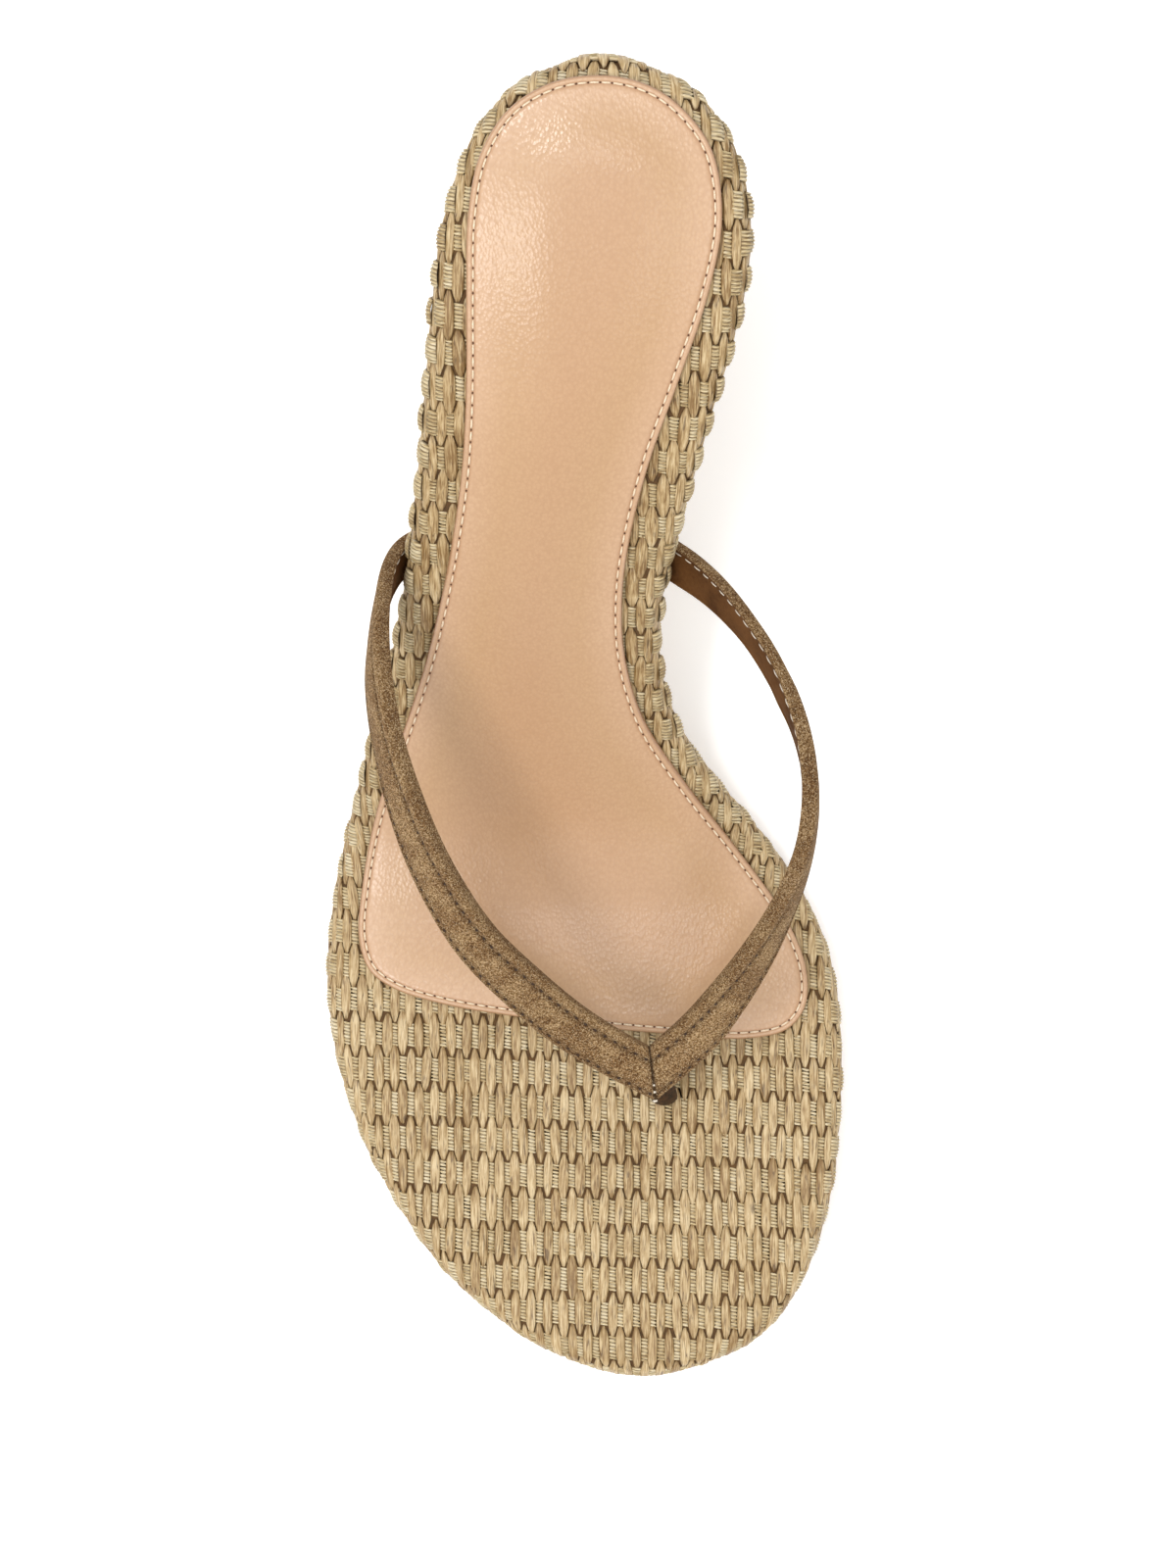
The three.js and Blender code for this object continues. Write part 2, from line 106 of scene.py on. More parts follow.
medialBranch = [
    [6.0, 42.8, 31.9, 6.2, 36.4, 26.7], [12.2, 42.0, 31.3, 12.4, 35.6, 26.1],
    [15.8, 39.8, 33.2, 16.2, 33.4, 27.8], [19.6, 36.4, 37.6, 20.2, 30.4, 31.6],
    [23.2, 32.2, 42.4, 23.7, 26.9, 35.8], [26.6, 27.2, 46.4, 26.8, 23.1, 39.1],
    [29.9, 21.8, 49.4, 29.5, 18.7, 41.6], [32.8, 15.6, 51.0, 32.0, 14.0, 42.8],
    [34.9, 9.0, 51.2, 34.5, 9.0, 42.9], [36.0, 2.4, 50.0, 36.2, 3.8, 41.8],
    [36.1, -4.4, 47.8, 37.1, -1.8, 39.9], [35.1, -11.0, 44.8, 37.1, -8.0, 37.3],
    [32.8, -17.2, 41.2, 36.1, -14.6, 34.1], [29.3, -23.6, 37.0, 33.9, -22.0, 30.4],
    [25.0, -29.8, 32.0, 30.8, -29.9, 26.2], [20.4, -35.4, 26.8, 26.8, -37.6, 22.4],
    [16.2, -40.0, 22.4, 22.0, -44.9, 19.2], [10.5, -45.1, 19.2, 11.7, -54.6, 16.2],
]
toePost = [  # x, y, z, width, depth
    [11.5, -50.6, 16.6, 5.4, 4.6], [12.3, -52.4, 12.6, 5.2, 4.0], [13.0, -54.0, 8.0, 5.0, 3.6],
    [13.4, -55.0, 3.5, 4.8, 3.4], [13.5, -55.4, -1.0, 4.8, 3.4], [13.5, -55.4, -5.0, 4.8, 3.4],
]


def unit(vectors):
    return vectors / np.linalg.norm(vectors, axis=-1, keepdims=True)


def runAlong(points):
    return np.concatenate([[0], np.cumsum(np.linalg.norm(np.diff(points, axis=0), axis=1))])


def smoothStep(share):
    share = np.clip(share, 0, 1)
    return share * share * (3 - 2 * share)


# The board, the wedge and the sock are laid out with the functions and lines from here on.
def valueAt(table, column, y):
    rows = np.array(table, float)
    knots, values = rows[:, 0], rows[:, column]
    y = np.asarray(y, float)
    slopes = np.empty(len(knots))
    slopes[1:-1] = (values[2:] - values[:-2]) / (knots[2:] - knots[:-2])
    slopes[0] = (values[1] - values[0]) / (knots[1] - knots[0])
    slopes[-1] = (values[-1] - values[-2]) / (knots[-1] - knots[-2])
    k = np.clip(np.searchsorted(knots, y, side="right"), 1, len(knots) - 1)
    span = knots[k] - knots[k - 1]
    t = (y - knots[k - 1]) / span
    start, change = values[k - 1], values[k] - values[k - 1]
    pullStart, pullEnd = slopes[k - 1] * span, slopes[k] * span
    return (start + pullStart * t + (3 * change - 2 * pullStart - pullEnd) * t * t
            + (pullStart + pullEnd - 2 * change) * t * t * t)


def bedSlope(y):
    # rise for each millimetre, taken over one
    y = np.asarray(y, float)
    return valueAt(boardRise, 1, y + 0.5) - valueAt(boardRise, 1, y - 0.5)


def bedPoint(x, y, above):
    slope = bedSlope(y)
    length = np.hypot(slope, 1.0)
    height = boardMid + valueAt(boardRise, 1, y) + above / length
    return np.stack([x + 0 * slope, y - above * slope / length, height], axis=-1)


def bedRowUnder(y, above):
    # bed row whose point at that height lies straight under plan row y
    row = np.array(y, float)
    for _ in range(12):  # by then the row moves no more
        slope = bedSlope(row)
        row = y + above * slope / np.hypot(slope, 1.0)
    return row


def curveAt(knots, t, closed):
    knots = np.asarray(knots, float)
    count = len(knots)
    place = (count if closed else count - 1) * np.asarray(t, float)
    k = np.floor(place).astype(int)
    w = place - k
    if closed:
        before, here, after, beyond = (knots[(k + j) % count] for j in (-1, 0, 1, 2))
    else:
        w = np.where(k >= count - 1, 1.0, w)
        k = np.minimum(k, count - 2)
        padded = np.vstack([2 * knots[0] - knots[1], knots, 2 * knots[-1] - knots[-2]])
        before, here, after, beyond = (padded[k + j] for j in (0, 1, 2, 3))
    w = w[..., None]
    d0 = np.sqrt(np.linalg.norm(here - before, axis=-1, keepdims=True))
    d1 = np.sqrt(np.linalg.norm(after - here, axis=-1, keepdims=True))
    d2 = np.sqrt(np.linalg.norm(beyond - after, axis=-1, keepdims=True))
    leave = ((here - before) / d0 - (after - before) / (d0 + d1) + (after - here) / d1) * d1
    arrive = ((after - here) / d1 - (beyond - here) / (d1 + d2) + (beyond - after) / d2) * d1
    return (here + leave * w + (-3 * here + 3 * after - 2 * leave - arrive) * w ** 2
            + (2 * here - 2 * after + leave + arrive) * w ** 3)


def evenly(points, count):
    # closed line of points, put at even distances
    looped = np.vstack([points, points[:1]])
    run = runAlong(looped)
    at = np.arange(count) / count * run[-1]
    return np.stack([np.interp(at, run, looped[:, c]) for c in range(points.shape[1])], axis=-1)


def ringFrom(points):
    # closed line that runs counterclockwise, with its outward and forward directions
    ahead = np.roll(points, -1, axis=0) - np.roll(points, 1, axis=0)
    step = np.linalg.norm(ahead, axis=1, keepdims=True)
    ahead = unit(ahead)
    out = np.stack([ahead[:, 1], -ahead[:, 0]], axis=-1)
    turn = (np.roll(out, -1, axis=0) - np.roll(out, 1, axis=0)) / step
    return {"place": points, "out": out, "ahead": ahead, "turn": turn}


def nearestOn(ring, points):
    best = np.empty(len(points), int)
    for start in range(0, len(points), fineness["lookup"]):
        part = slice(start, start + fineness["lookup"])
        best[part] = ((points[part, None, :] - ring["place"][None]) ** 2).sum(-1).argmin(1)
    toPoint = points - ring["place"][best]
    beside = (toPoint * ring["ahead"][best]).sum(-1)
    foot = ring["place"][best] + ring["ahead"][best] * beside[:, None]
    out = unit(ring["out"][best] + ring["turn"][best] * beside[:, None])
    away = ((points - foot) * out).sum(-1)
    return foot, out, away


def outlineThrough(knots):
    shares = np.arange(fineness["outline"]) / fineness["outline"]
    return curveAt(knots, shares, True)[::-1]


edge = np.array(boardEdge)
boardOutline = outlineThrough(np.vstack([boardToe, edge[:, [1, 0]], boardHeel, edge[::-1][:, [2, 0]]]))
boardRing = ringFrom(evenly(boardOutline, fineness["rim"]))
sockRows = np.array(sockEdge)
sockKnots = np.vstack([sockFront, sockRows[:, :2], sockHeel, sockRows[::-1][:, 2:]])
sockOutline = evenly(outlineThrough(sockKnots), fineness["sock"])
sockRing = ringFrom(evenly(sockOutline, fineness["sockSeam"]))

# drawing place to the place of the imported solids
lowest, highest = (np.array(corner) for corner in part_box("footbed_board"))
toFrame = (lowest + highest)[:2] / 2 / mm
toFrame -= (boardOutline.max(axis=0) + boardOutline.min(axis=0)) / 2
print("drawing to frame, mm:", [round(float(v), 3) for v in toFrame])

# the bed rolled out flat: across, and the run along its middle line
lineY = np.linspace(boardRise[0][0], boardRise[-1][0], fineness["bedLine"])
lineZ = valueAt(boardRise, 1, lineY)
lineRun = np.concatenate([[0], np.cumsum(np.hypot(np.diff(lineY), np.diff(lineZ)))])
flatPoints = boardRing["place"] - boardRing["out"] * rimRadius
flatRing = ringFrom(np.stack([flatPoints[:, 0], np.interp(flatPoints[:, 1], lineY, lineRun)], axis=-1))


def onBoard(across, along, height):
    # place on the board's skin, over its rolled edge and under it
    flat = np.stack([across, along], axis=-1)
    foot, out, away = nearestOn(flatRing, flat)
    inside = bedPoint(across, np.interp(along, lineRun, lineY), rimRadius + height)
    footY = np.interp(foot[:, 1], lineRun, lineY)
    slope = bedSlope(footY)
    length = np.hypot(slope, 1.0)
    tangent = np.stack([0 * slope, 1 / length, slope / length], axis=-1)
    upward = np.stack([0 * slope, -slope / length, 1 / length], axis=-1)
    outward = out[:, :1] * np.array([[1.0, 0.0, 0.0]]) + out[:, 1:] * tangent
    turn = np.clip(away / rimRadius, 0, math.pi)[:, None]
    reach = (rimRadius + height)[:, None]
    rim = bedPoint(foot[:, 0], footY, 0.0) + reach * (outward * np.sin(turn) + upward * np.cos(turn))
    return np.where((away <= 0)[:, None], inside, rim)


# walls of the wedge, from the front on the big-toe side round the heel
behindFront = boardRing["place"][:, 1] > sole["wedgeFrontY"]
startAt = int(np.argmax(behindFront & ~np.roll(behindFront, 1)))
order = np.roll(np.arange(len(behindFront)), -startAt)
order = order[behindFront[order]]
wallPlace, wallOut = boardRing["place"][order], boardRing["out"][order]
wallCrown = wallPlace - wallOut * sole["rimOverhang"]
stepIn = (valueAt(wallInset, 1, wallPlace[:, 1]) * wallOut[:, 0] ** 2
          + valueAt(wallInset, 2, wallPlace[:, 1]) * wallOut[:, 1] ** 2)
wallFoot = wallPlace - wallOut * stepIn[:, None]
wallFloor = sole["outsoleThickness"] + sole["fitGap"]
wallTop = bedPoint(wallCrown[:, 0], wallCrown[:, 1], underBoard)[:, 2]
wallRun = runAlong(wallPlace)


def alongWall(values, run):
    if values.ndim == 1:
        return np.interp(run, wallRun, values)
    return np.stack([np.interp(run, wallRun, values[:, c]) for c in range(values.shape[1])], axis=-1)


def onWall(run, level, height):
    crown, foot, out = (alongWall(v, run) for v in (wallCrown, wallFoot, wallOut))
    top = alongWall(wallTop, run)
    tall = top + sole["wallIntoBoard"] - wallFloor
    level = np.minimum(level, top - sole["wallTopGap"])
    place = foot + (crown - foot) * ((level - wallFloor) / tall)[:, None]
    lean = ((crown - foot) * out).sum(-1) / tall
    return np.column_stack([place, level]) + unit(np.column_stack([out, -lean])) * height[:, None]


def inFrame(points):
    moved = np.array(points, float)
    moved[..., :2] += toFrame
    return moved * mm


def clearSelection():
    if bpy.context.object and bpy.context.object.mode != "OBJECT":
        bpy.ops.object.mode_set(mode="OBJECT")
    bpy.ops.object.select_all(action="DESELECT")


def takeUp(piece):
    clearSelection()
    piece.select_set(True)
    bpy.context.view_layer.objects.active = piece


def named(piece, name):
    piece.name = name
    piece.data.name = name
    return piece


def movePoints(piece, points):
    piece.data.vertices.foreach_set("co", np.asarray(points, np.float32).ravel())
    piece.data.update()


def pointsOf(piece):
    points = np.empty(len(piece.data.vertices) * 3, np.float32)
    piece.data.vertices.foreach_get("co", points)
    return points.reshape(-1, 3).astype(float)


def meshSteps(*steps):
    # edit mode, with everything selected before each step
    bpy.ops.object.mode_set(mode="EDIT")
    for step, options in steps:
        bpy.ops.mesh.select_all(action="SELECT")
        step(**options)
    bpy.ops.object.mode_set(mode="OBJECT")


facesOutward = (bpy.ops.mesh.normals_make_consistent, {"inside": False})


def cutStep(place, axis):
    return bpy.ops.mesh.bisect, {"plane_co": [place * on for on in axis], "plane_no": axis}


def smoothBelow(degrees):
    bpy.ops.object.shade_smooth_by_angle(angle=math.radians(degrees))


def giveMaterials(piece, *materials):
    piece.data.materials.clear()
    for material in materials:
        piece.data.materials.append(material)


def onRoot(piece, node):
    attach(piece, "root")
    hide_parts(node)


def copyOfSolid(node, name, drawIn, material, keepHeight=False):
    # the solid's own shape, drawn in a little to carry the woven strands
    piece = bpy.data.objects.new(name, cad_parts[node].data.copy())
    bpy.context.scene.collection.objects.link(piece)
    named(piece, name)
    takeUp(piece)
    meshSteps((bpy.ops.mesh.remove_doubles, {"threshold": 0.02 * mm}), facesOutward)
    heights = pointsOf(piece)[:, 2]
    meshSteps((bpy.ops.transform.shrink_fatten, {"value": -drawIn * mm, "use_even_offset": True}))
    if keepHeight:
        # stays close under the board, which is drawn in as well
        drawn = pointsOf(piece)
        raised = np.clip(heights / mm / weave["closeFrom"] - 1, 0, 1)
        drawn[:, 2] = heights + raised * weave["closeGap"] * mm
        movePoints(piece, drawn)
    smoothBelow(40)
    giveMaterials(piece, material)
    return piece


def pointField(mesh, name, values):
    field = mesh.attributes.new(name, "FLOAT", "POINT")
    field.data.foreach_set("value", np.asarray(values, np.float32).ravel())


def skinThrough(name, rings, kinds, burnishAndShade, *materials):
    # closed skin through rings of points; kinds give the material round a ring
    count, around = rings.shape[:2]
    clearSelection()
    bpy.ops.mesh.primitive_grid_add(x_subdivisions=around, y_subdivisions=count - 1, size=0.01)
    piece = named(bpy.context.object, name)
    closed, closedBurnishAndShade = (np.concatenate([part, part[:, :1]], axis=1) for part in (rings, burnishAndShade))
    movePoints(piece, inFrame(closed.reshape(-1, 3)))
    giveMaterials(piece, *materials)
    piece.data.polygons.foreach_set("material_index", np.tile(kinds, count - 1).astype(np.int32))
    pointField(piece.data, "burnishAndShade", closedBurnishAndShade)
    meshSteps((bpy.ops.mesh.remove_doubles, {"threshold": 0.004 * mm}),
              (bpy.ops.mesh.fill_holes, {"sides": 0}), facesOutward)
    smoothBelow(60)
    return piece


def wholeNumbers(items, key):
    values = np.empty(len(items), np.int32)
    items.foreach_get(key, values)
    return values


def layCopies(name, template, places, materials, tone, strand, depth=None):
    # one mesh of many copies of a small template, each copy already set in its place
    source = template.data
    each = len(source.vertices)
    copies = len(places) // each
    corners = wholeNumbers(source.loops, "vertex_index")
    starts = wholeNumbers(source.polygons, "loop_start")
    number = np.arange(copies, dtype=np.int32)[:, None]
    mesh = bpy.data.meshes.new(name)
    mesh.vertices.add(copies * each)
    mesh.loops.add(copies * len(corners))
    mesh.polygons.add(copies * len(starts))
    mesh.vertices.foreach_set("co", inFrame(places).astype(np.float32).ravel())
    mesh.loops.foreach_set("vertex_index", (corners + number * each).ravel())
    mesh.polygons.foreach_set("loop_start", (starts + number * len(corners)).ravel())
    mesh.polygons.foreach_set("use_smooth", np.ones(copies * len(starts), bool))
    mesh.update(calc_edges=True)
    pointField(mesh, "tone", tone)
    strandField = mesh.attributes.new("strand", "FLOAT_VECTOR", "POINT")
    strandField.data.foreach_set("vector", strand.astype(np.float32).ravel())
    # depth carries the share of painted shade between the strands
    if depth is not None:
        pointField(mesh, "depth", depth)
    mesh.validate()
    piece = bpy.data.objects.new(name, mesh)
    bpy.context.scene.collection.objects.link(piece)
    giveMaterials(piece, *materials)
    return piece


paintShade = 0.80  # the studio is bright enough to whiten the floor, so paints are mixed darker


def linear(red, green, blue):
    out = []
    for value in (red, green, blue):
        value /= 255
        value = value / 12.92 if value <= 0.04045 else ((value + 0.055) / 1.055) ** 2.4
        out.append(value * paintShade)
    return (*out, 1.0)


class Finish:
    # node tree of one material, with short ways to add what leather and straw need
    def __init__(self, name, roughness, **sockets):
        self.material = bpy.data.materials.new(name)
        self.material.use_nodes = True
        self.tree = self.material.node_tree
        self.shader = self.tree.nodes["Principled BSDF"]
        self.shader.inputs["Roughness"].default_value = roughness
        for socket, value in sockets.items():
            self.shader.inputs[socket.replace("_", " ")].default_value = value
        self.normal = None

    def node(self, kind, **inputs):
        made = self.tree.nodes.new(kind)
        for socket, value in inputs.items():
            made.inputs[socket.replace("_", " ")].default_value = value
        return made

    def link(self, source, target):
        self.tree.links.new(source, target)

    def coordinates(self, scale=(1, 1, 1), turned=0.0):
        # object coordinates in millimetres, stretched
        place = self.node("ShaderNodeTexCoord")
        mapping = self.node("ShaderNodeMapping")
        mapping.inputs["Scale"].default_value = [1000 * value for value in scale]
        mapping.inputs["Rotation"].default_value = (0, 0, turned)
        self.link(place.outputs["Object"], mapping.inputs["Vector"])
        return mapping.outputs["Vector"]

    def field(self, name, scale):
        read = self.node("ShaderNodeAttribute")
        read.attribute_name = name
        mapping = self.node("ShaderNodeMapping")
        mapping.inputs["Scale"].default_value = scale
        self.link(read.outputs["Vector"], mapping.inputs["Vector"])
        return mapping.outputs["Vector"]

    def fieldValue(self, name):
        read = self.node("ShaderNodeAttribute")
        read.attribute_name = name
        return read.outputs["Fac"]

    def noise(self, vector, scale, detail=2.0, roughness=0.5, distortion=0.0):
        made = self.node("ShaderNodeTexNoise", Scale=scale, Detail=detail,
                         Roughness=roughness, Distortion=distortion)
        self.link(vector, made.inputs["Vector"])
        return made.outputs["Fac"]

    def cells(self, vector, scale):
        made = self.node("ShaderNodeTexVoronoi", Scale=scale)
        self.link(vector, made.inputs["Vector"])
        return made.outputs["Distance"]

    def ramp(self, factor, *stops):
        made = self.node("ShaderNodeValToRGB")
        elements = made.color_ramp.elements
        while len(elements) < len(stops):
            elements.new(0.5)
        for element, (position, colour) in zip(elements, stops):
            element.position = position
            element.color = colour if len(colour) == 4 else (*colour, 1)
        self.link(factor, made.inputs["Fac"])
        return made.outputs["Color"]

    def paints(self, factor, *stops):
        return self.ramp(factor, *((position, linear(*paint)) for position, paint in stops))

    def grey(self, factor, low, high, start=0.0, end=1.0):
        return self.ramp(factor, (low, (start,) * 3), (high, (end,) * 3))

    def feed(self, made, *values):
        # numbers and colours are set, and other sockets are linked
        for target, value in values:
            if isinstance(value, (int, float, tuple)):
                made.inputs[target].default_value = value
            else:
                self.link(value, made.inputs[target])
        return made

    def mix(self, factor, first, second, blend="MIX"):
        made = self.tree.nodes.new("ShaderNodeMix")
        made.data_type = "RGBA"
        made.blend_type = blend
        return self.feed(made, (0, factor), (6, first), (7, second)).outputs[2]

    def math(self, operation, first, second):
        made = self.tree.nodes.new("ShaderNodeMath")
        made.operation = operation
        return self.feed(made, (0, first), (1, second)).outputs[0]

    def weighed(self, *parts):
        # sum of noises, each times its share
        total = 0.0
        for noise, share in parts:
            total = self.math("ADD", self.math("MULTIPLY", noise, share), total)
        return total

    def bump(self, height, distance, strength=1.0):
        # distance in millimetres
        made = self.node("ShaderNodeBump", Strength=strength, Distance=distance * mm)
        self.link(height, made.inputs["Height"])
        if self.normal:
            self.link(self.normal, made.inputs["Normal"])
        self.normal = made.outputs["Normal"]

    def finish(self, colour, roughness=None):
        self.link(colour, self.shader.inputs["Base Color"])
        if roughness:
            self.link(roughness, self.shader.inputs["Roughness"])
        if self.normal:
            self.link(self.normal, self.shader.inputs["Normal"])
        return self.material


# A noise is given by its scale, detail and roughness, and relief by its depth in mm and strength.
def plainFinish(name, roughness, grain, relief, low, high, clouds=None, stretch=(1, 1, 1), **sockets):
    # low and high: place on the grain's range, and paint
    made = Finish(name, roughness, **sockets)
    place = made.coordinates(stretch)
    spots = made.noise(place, *grain)
    made.bump(spots, *relief)
    if clouds:
        wide, share = clouds
        spots = made.weighed((spots, 1 - share), (made.noise(place, *wide), share))
    return made.finish(made.paints(spots, low, high))


straw = {
    "strand": {
        "paints": [(140, 107, 62), (190, 160, 112), (228, 204, 160)], "roughness": 0.42,
        "streaks": (4.2, 0.30, 1.0), "lines": (1.5, 0.10, 1.0), "lineShare": 0.8,
    },
    "weft": {
        "paints": [(184, 154, 104), (228, 205, 156), (250, 234, 198)], "roughness": 0.55,
        "streaks": (0.6, 5.0, 1.0), "lines": (0.1, 1.0, 1.0), "lineShare": 0.0,
    },
    "patches": (0.9, 0.45, 1.0), "toneShare": 0.14, "streakShare": 0.88, "patchShare": 0.18,
    "paintsAt": [0.475, 0.595, 0.74], "lineWidth": 0.045, "linesFrom": (0.46, 0.6),
    # painted shade: the dark paint laid between the strands, with its fading and unevenness
    "paintedShade": (72, 43, 15), "paintedShadeFade": 1.4, "paintedShadeUneven": (0.36, 0.62, 1.0, 0.55),
    "relief": (0.16, 0.8), "smoother": 0.08, "rougher": 0.16,
}


def raffiaFinish(kind):
    look = straw[kind]
    made = Finish("raffia_" + kind, look["roughness"], Specular_IOR_Level=0.45)
    streaks = made.noise(made.field("strand", look["streaks"]), 1.0, 4.0, 0.62)
    patches = made.noise(made.field("strand", straw["patches"]), 1.0, 3.0)
    mixed = made.weighed((made.fieldValue("tone"), straw["toneShare"]), (streaks, straw["streakShare"]),
                         (patches, straw["patchShare"]))
    colour = made.paints(mixed, *zip(straw["paintsAt"], look["paints"]))
    # painted shade of thin pleat folds, on some strands only
    fromLine = made.math("SUBTRACT", made.noise(made.field("strand", look["lines"]), 1.0, 1.0), 0.5)
    pleats = made.grey(made.math("ABSOLUTE", fromLine, 0), 0.0, straw["lineWidth"], 1.0, 0.0)
    pleats = made.math("MULTIPLY", pleats, made.grey(patches, *straw["linesFrom"], 0.0, look["lineShare"]))
    # painted shade between the strands, at the strand ends and in the rib valleys, uneven along the streaks
    depth = made.math("POWER", made.fieldValue("depth"), straw["paintedShadeFade"])
    depth = made.math("MULTIPLY", depth, made.grey(streaks, *straw["paintedShadeUneven"]))
    colour = made.mix(made.math("MAXIMUM", depth, pleats), colour, linear(*straw["paintedShade"]))
    made.bump(streaks, *straw["relief"])
    low, high = look["roughness"] - straw["smoother"], look["roughness"] + straw["rougher"]
    return made.finish(colour, made.grey(streaks, 0.3, 0.7, low, high))


humpStraw, ribStraw = raffiaFinish("strand"), raffiaFinish("weft")
# backing under the weave; its dark brown is painted shade for the gaps between the strands
shadedCoreStraw = plainFinish("straw_backing_shade", 0.9, (0.9, 3.0), (0.2, 1.0), (0.3, (84, 60, 34)),
                        (0.7, (108, 76, 38)))

sockLook = {
    # seam: painted shade along the stitched groove
    "colour": (208, 168, 127), "shade": (205, 163, 124), "light": (218, 179, 143), "seam": (196, 152, 116),
    "edge": (168, 120, 84), "cloud": (200, 158, 116), "speck": (186, 142, 102), "pebble": (168, 122, 84),
    "gloss": 0.36, "grainSize": 0.55, "grainDepth": 0.040, "wrinkleDepth": 0.04,
    # paints from the edge inwards, at shares of the reach in mm
    "reach": 20.0,
    "bands": [(0.002, "edge"), (0.018, "light"), (0.034, "light"), (0.050, "seam"), (0.062, "seam"),
              (0.085, "light"), (0.35, "colour"), (0.80, "shade")],
}
hide = Finish("sock_leather", sockLook["gloss"], Specular_IOR_Level=0.4, Coat_Weight=0.5, Coat_Roughness=0.20)
hidePlace = hide.coordinates()
speck = hide.noise(hidePlace, 1.3, 3.0, 0.6)
pebble = hide.cells(hide.coordinates((1, 0.75, 1), 0.4), 1 / sockLook["grainSize"])
fromEdge = hide.math("DIVIDE", hide.fieldValue("fromEdge"), sockLook["reach"])
hideColour = hide.paints(fromEdge, *((share, sockLook[paint]) for share, paint in sockLook["bands"]))
for paint, spots, low, high, share in (("cloud", hide.noise(hidePlace, 0.03), 0.35, 0.7, 0.35),
                                       ("speck", speck, 0.35, 0.75, 0.2),
                                       ("pebble", pebble, 0.25, 0.7, 0.16)):
    hideColour = hide.mix(hide.grey(spots, low, high, 0.0, share), hideColour, linear(*sockLook[paint]))
hide.bump(pebble, sockLook["grainDepth"])
hide.bump(hide.noise(hide.coordinates((1.0, 0.5, 1.0), 0.5), 0.8, 3.0, 0.65), sockLook["wrinkleDepth"], 0.9)
hide.link(hide.normal, hide.shader.inputs["Coat Normal"])
sockLeather = hide.finish(hideColour, hide.grey(speck, 0.25, 0.8, 0.30, 0.46))

suedeLook = {
    "colour": (145, 110, 69), "shade": (96, 66, 36), "light": (210, 177, 131), "burntAndShaded": (74, 48, 24),
    "napGlint": (240, 214, 172), "sheen": (226, 196, 150), "rubbed": (0.68, 0.60, 0.52), "napDepth": 0.34,
}
nap = Finish("strap_suede", 0.92, Specular_IOR_Level=0.2, Sheen_Weight=0.08, Sheen_Roughness=0.5)
nap.shader.inputs["Sheen Tint"].default_value = linear(*suedeLook["sheen"])
napPlace = nap.coordinates()
napFine = nap.noise(napPlace, 3.1, 4.0, 0.78)
napWide = nap.noise(napPlace, 0.20, 3.0, 0.6, 0.6)
napColour = nap.paints(napFine, (0.40, suedeLook["shade"]), (0.50, suedeLook["colour"]),
                       (0.60, suedeLook["light"]))
rubbed = nap.ramp(napWide, (0.40, suedeLook["rubbed"]), (0.58, (1.0, 1.0, 1.0)))
napColour = nap.mix(1.0, napColour, rubbed, "MULTIPLY")
# burnished edges, with painted shade in the stitch grooves and in the seam between the branches
burntAndShaded = nap.math("MULTIPLY", nap.fieldValue("burnishAndShade"), nap.grey(napFine, 0.40, 0.62, 1.0, 0.60))
napColour = nap.mix(burntAndShaded, napColour, linear(*suedeLook["burntAndShaded"]))
# painted glints: light specks where the nap catches the light
napGlint = nap.grey(nap.noise(nap.coordinates(turned=0.6), 4.6, 1.0), 0.58, 0.68, 0.0, 0.55)
napColour = nap.mix(napGlint, napColour, linear(*suedeLook["napGlint"]))
nap.bump(napFine, suedeLook["napDepth"])
suede = nap.finish(napColour)

postLeather = plainFinish("post_leather", 0.6, (1.1, 3.0, 0.6), (0.25, 0.9), (0.38, (34, 20, 10)),
                          (0.64, (80, 50, 26)), stretch=(1, 1, 0.4), Specular_IOR_Level=0.2)
lining = plainFinish("strap_lining", 0.6, (1.6, 3.0, 0.6), (0.06, 0.6), (0.35, (80, 49, 23)),
                     (0.65, (112, 74, 40)), clouds=((0.16, 2.0), 0.6), Specular_IOR_Level=0.1)
outsoleLeather = plainFinish("outsole_leather", 0.6, (0.8, 4.0, 0.6), (0.08, 0.6), (0.35, (150, 112, 74)),
                             (0.65, (184, 146, 104)), clouds=((0.06, 2.0), 0.5))
creamThread, whiteThread, brownThread, holeShade, sockHoleShade = (
    plainFinish(name, 0.75, (4.0, 2.0), (0.08, 0.6), (0.3, dark), (0.7, light)) for name, dark, light in (
        ("cream_thread", (232, 204, 168), (255, 238, 210)),
        ("white_thread", (222, 206, 182), (248, 240, 226)),
        ("brown_thread", (120, 88, 54), (160, 126, 84)),
        # needle holes: dark dots of painted shade
        ("needle_hole", (50, 32, 18), (74, 50, 30)),
        ("sock_needle_hole", (84, 52, 28), (112, 74, 46))))

print("materials ready")


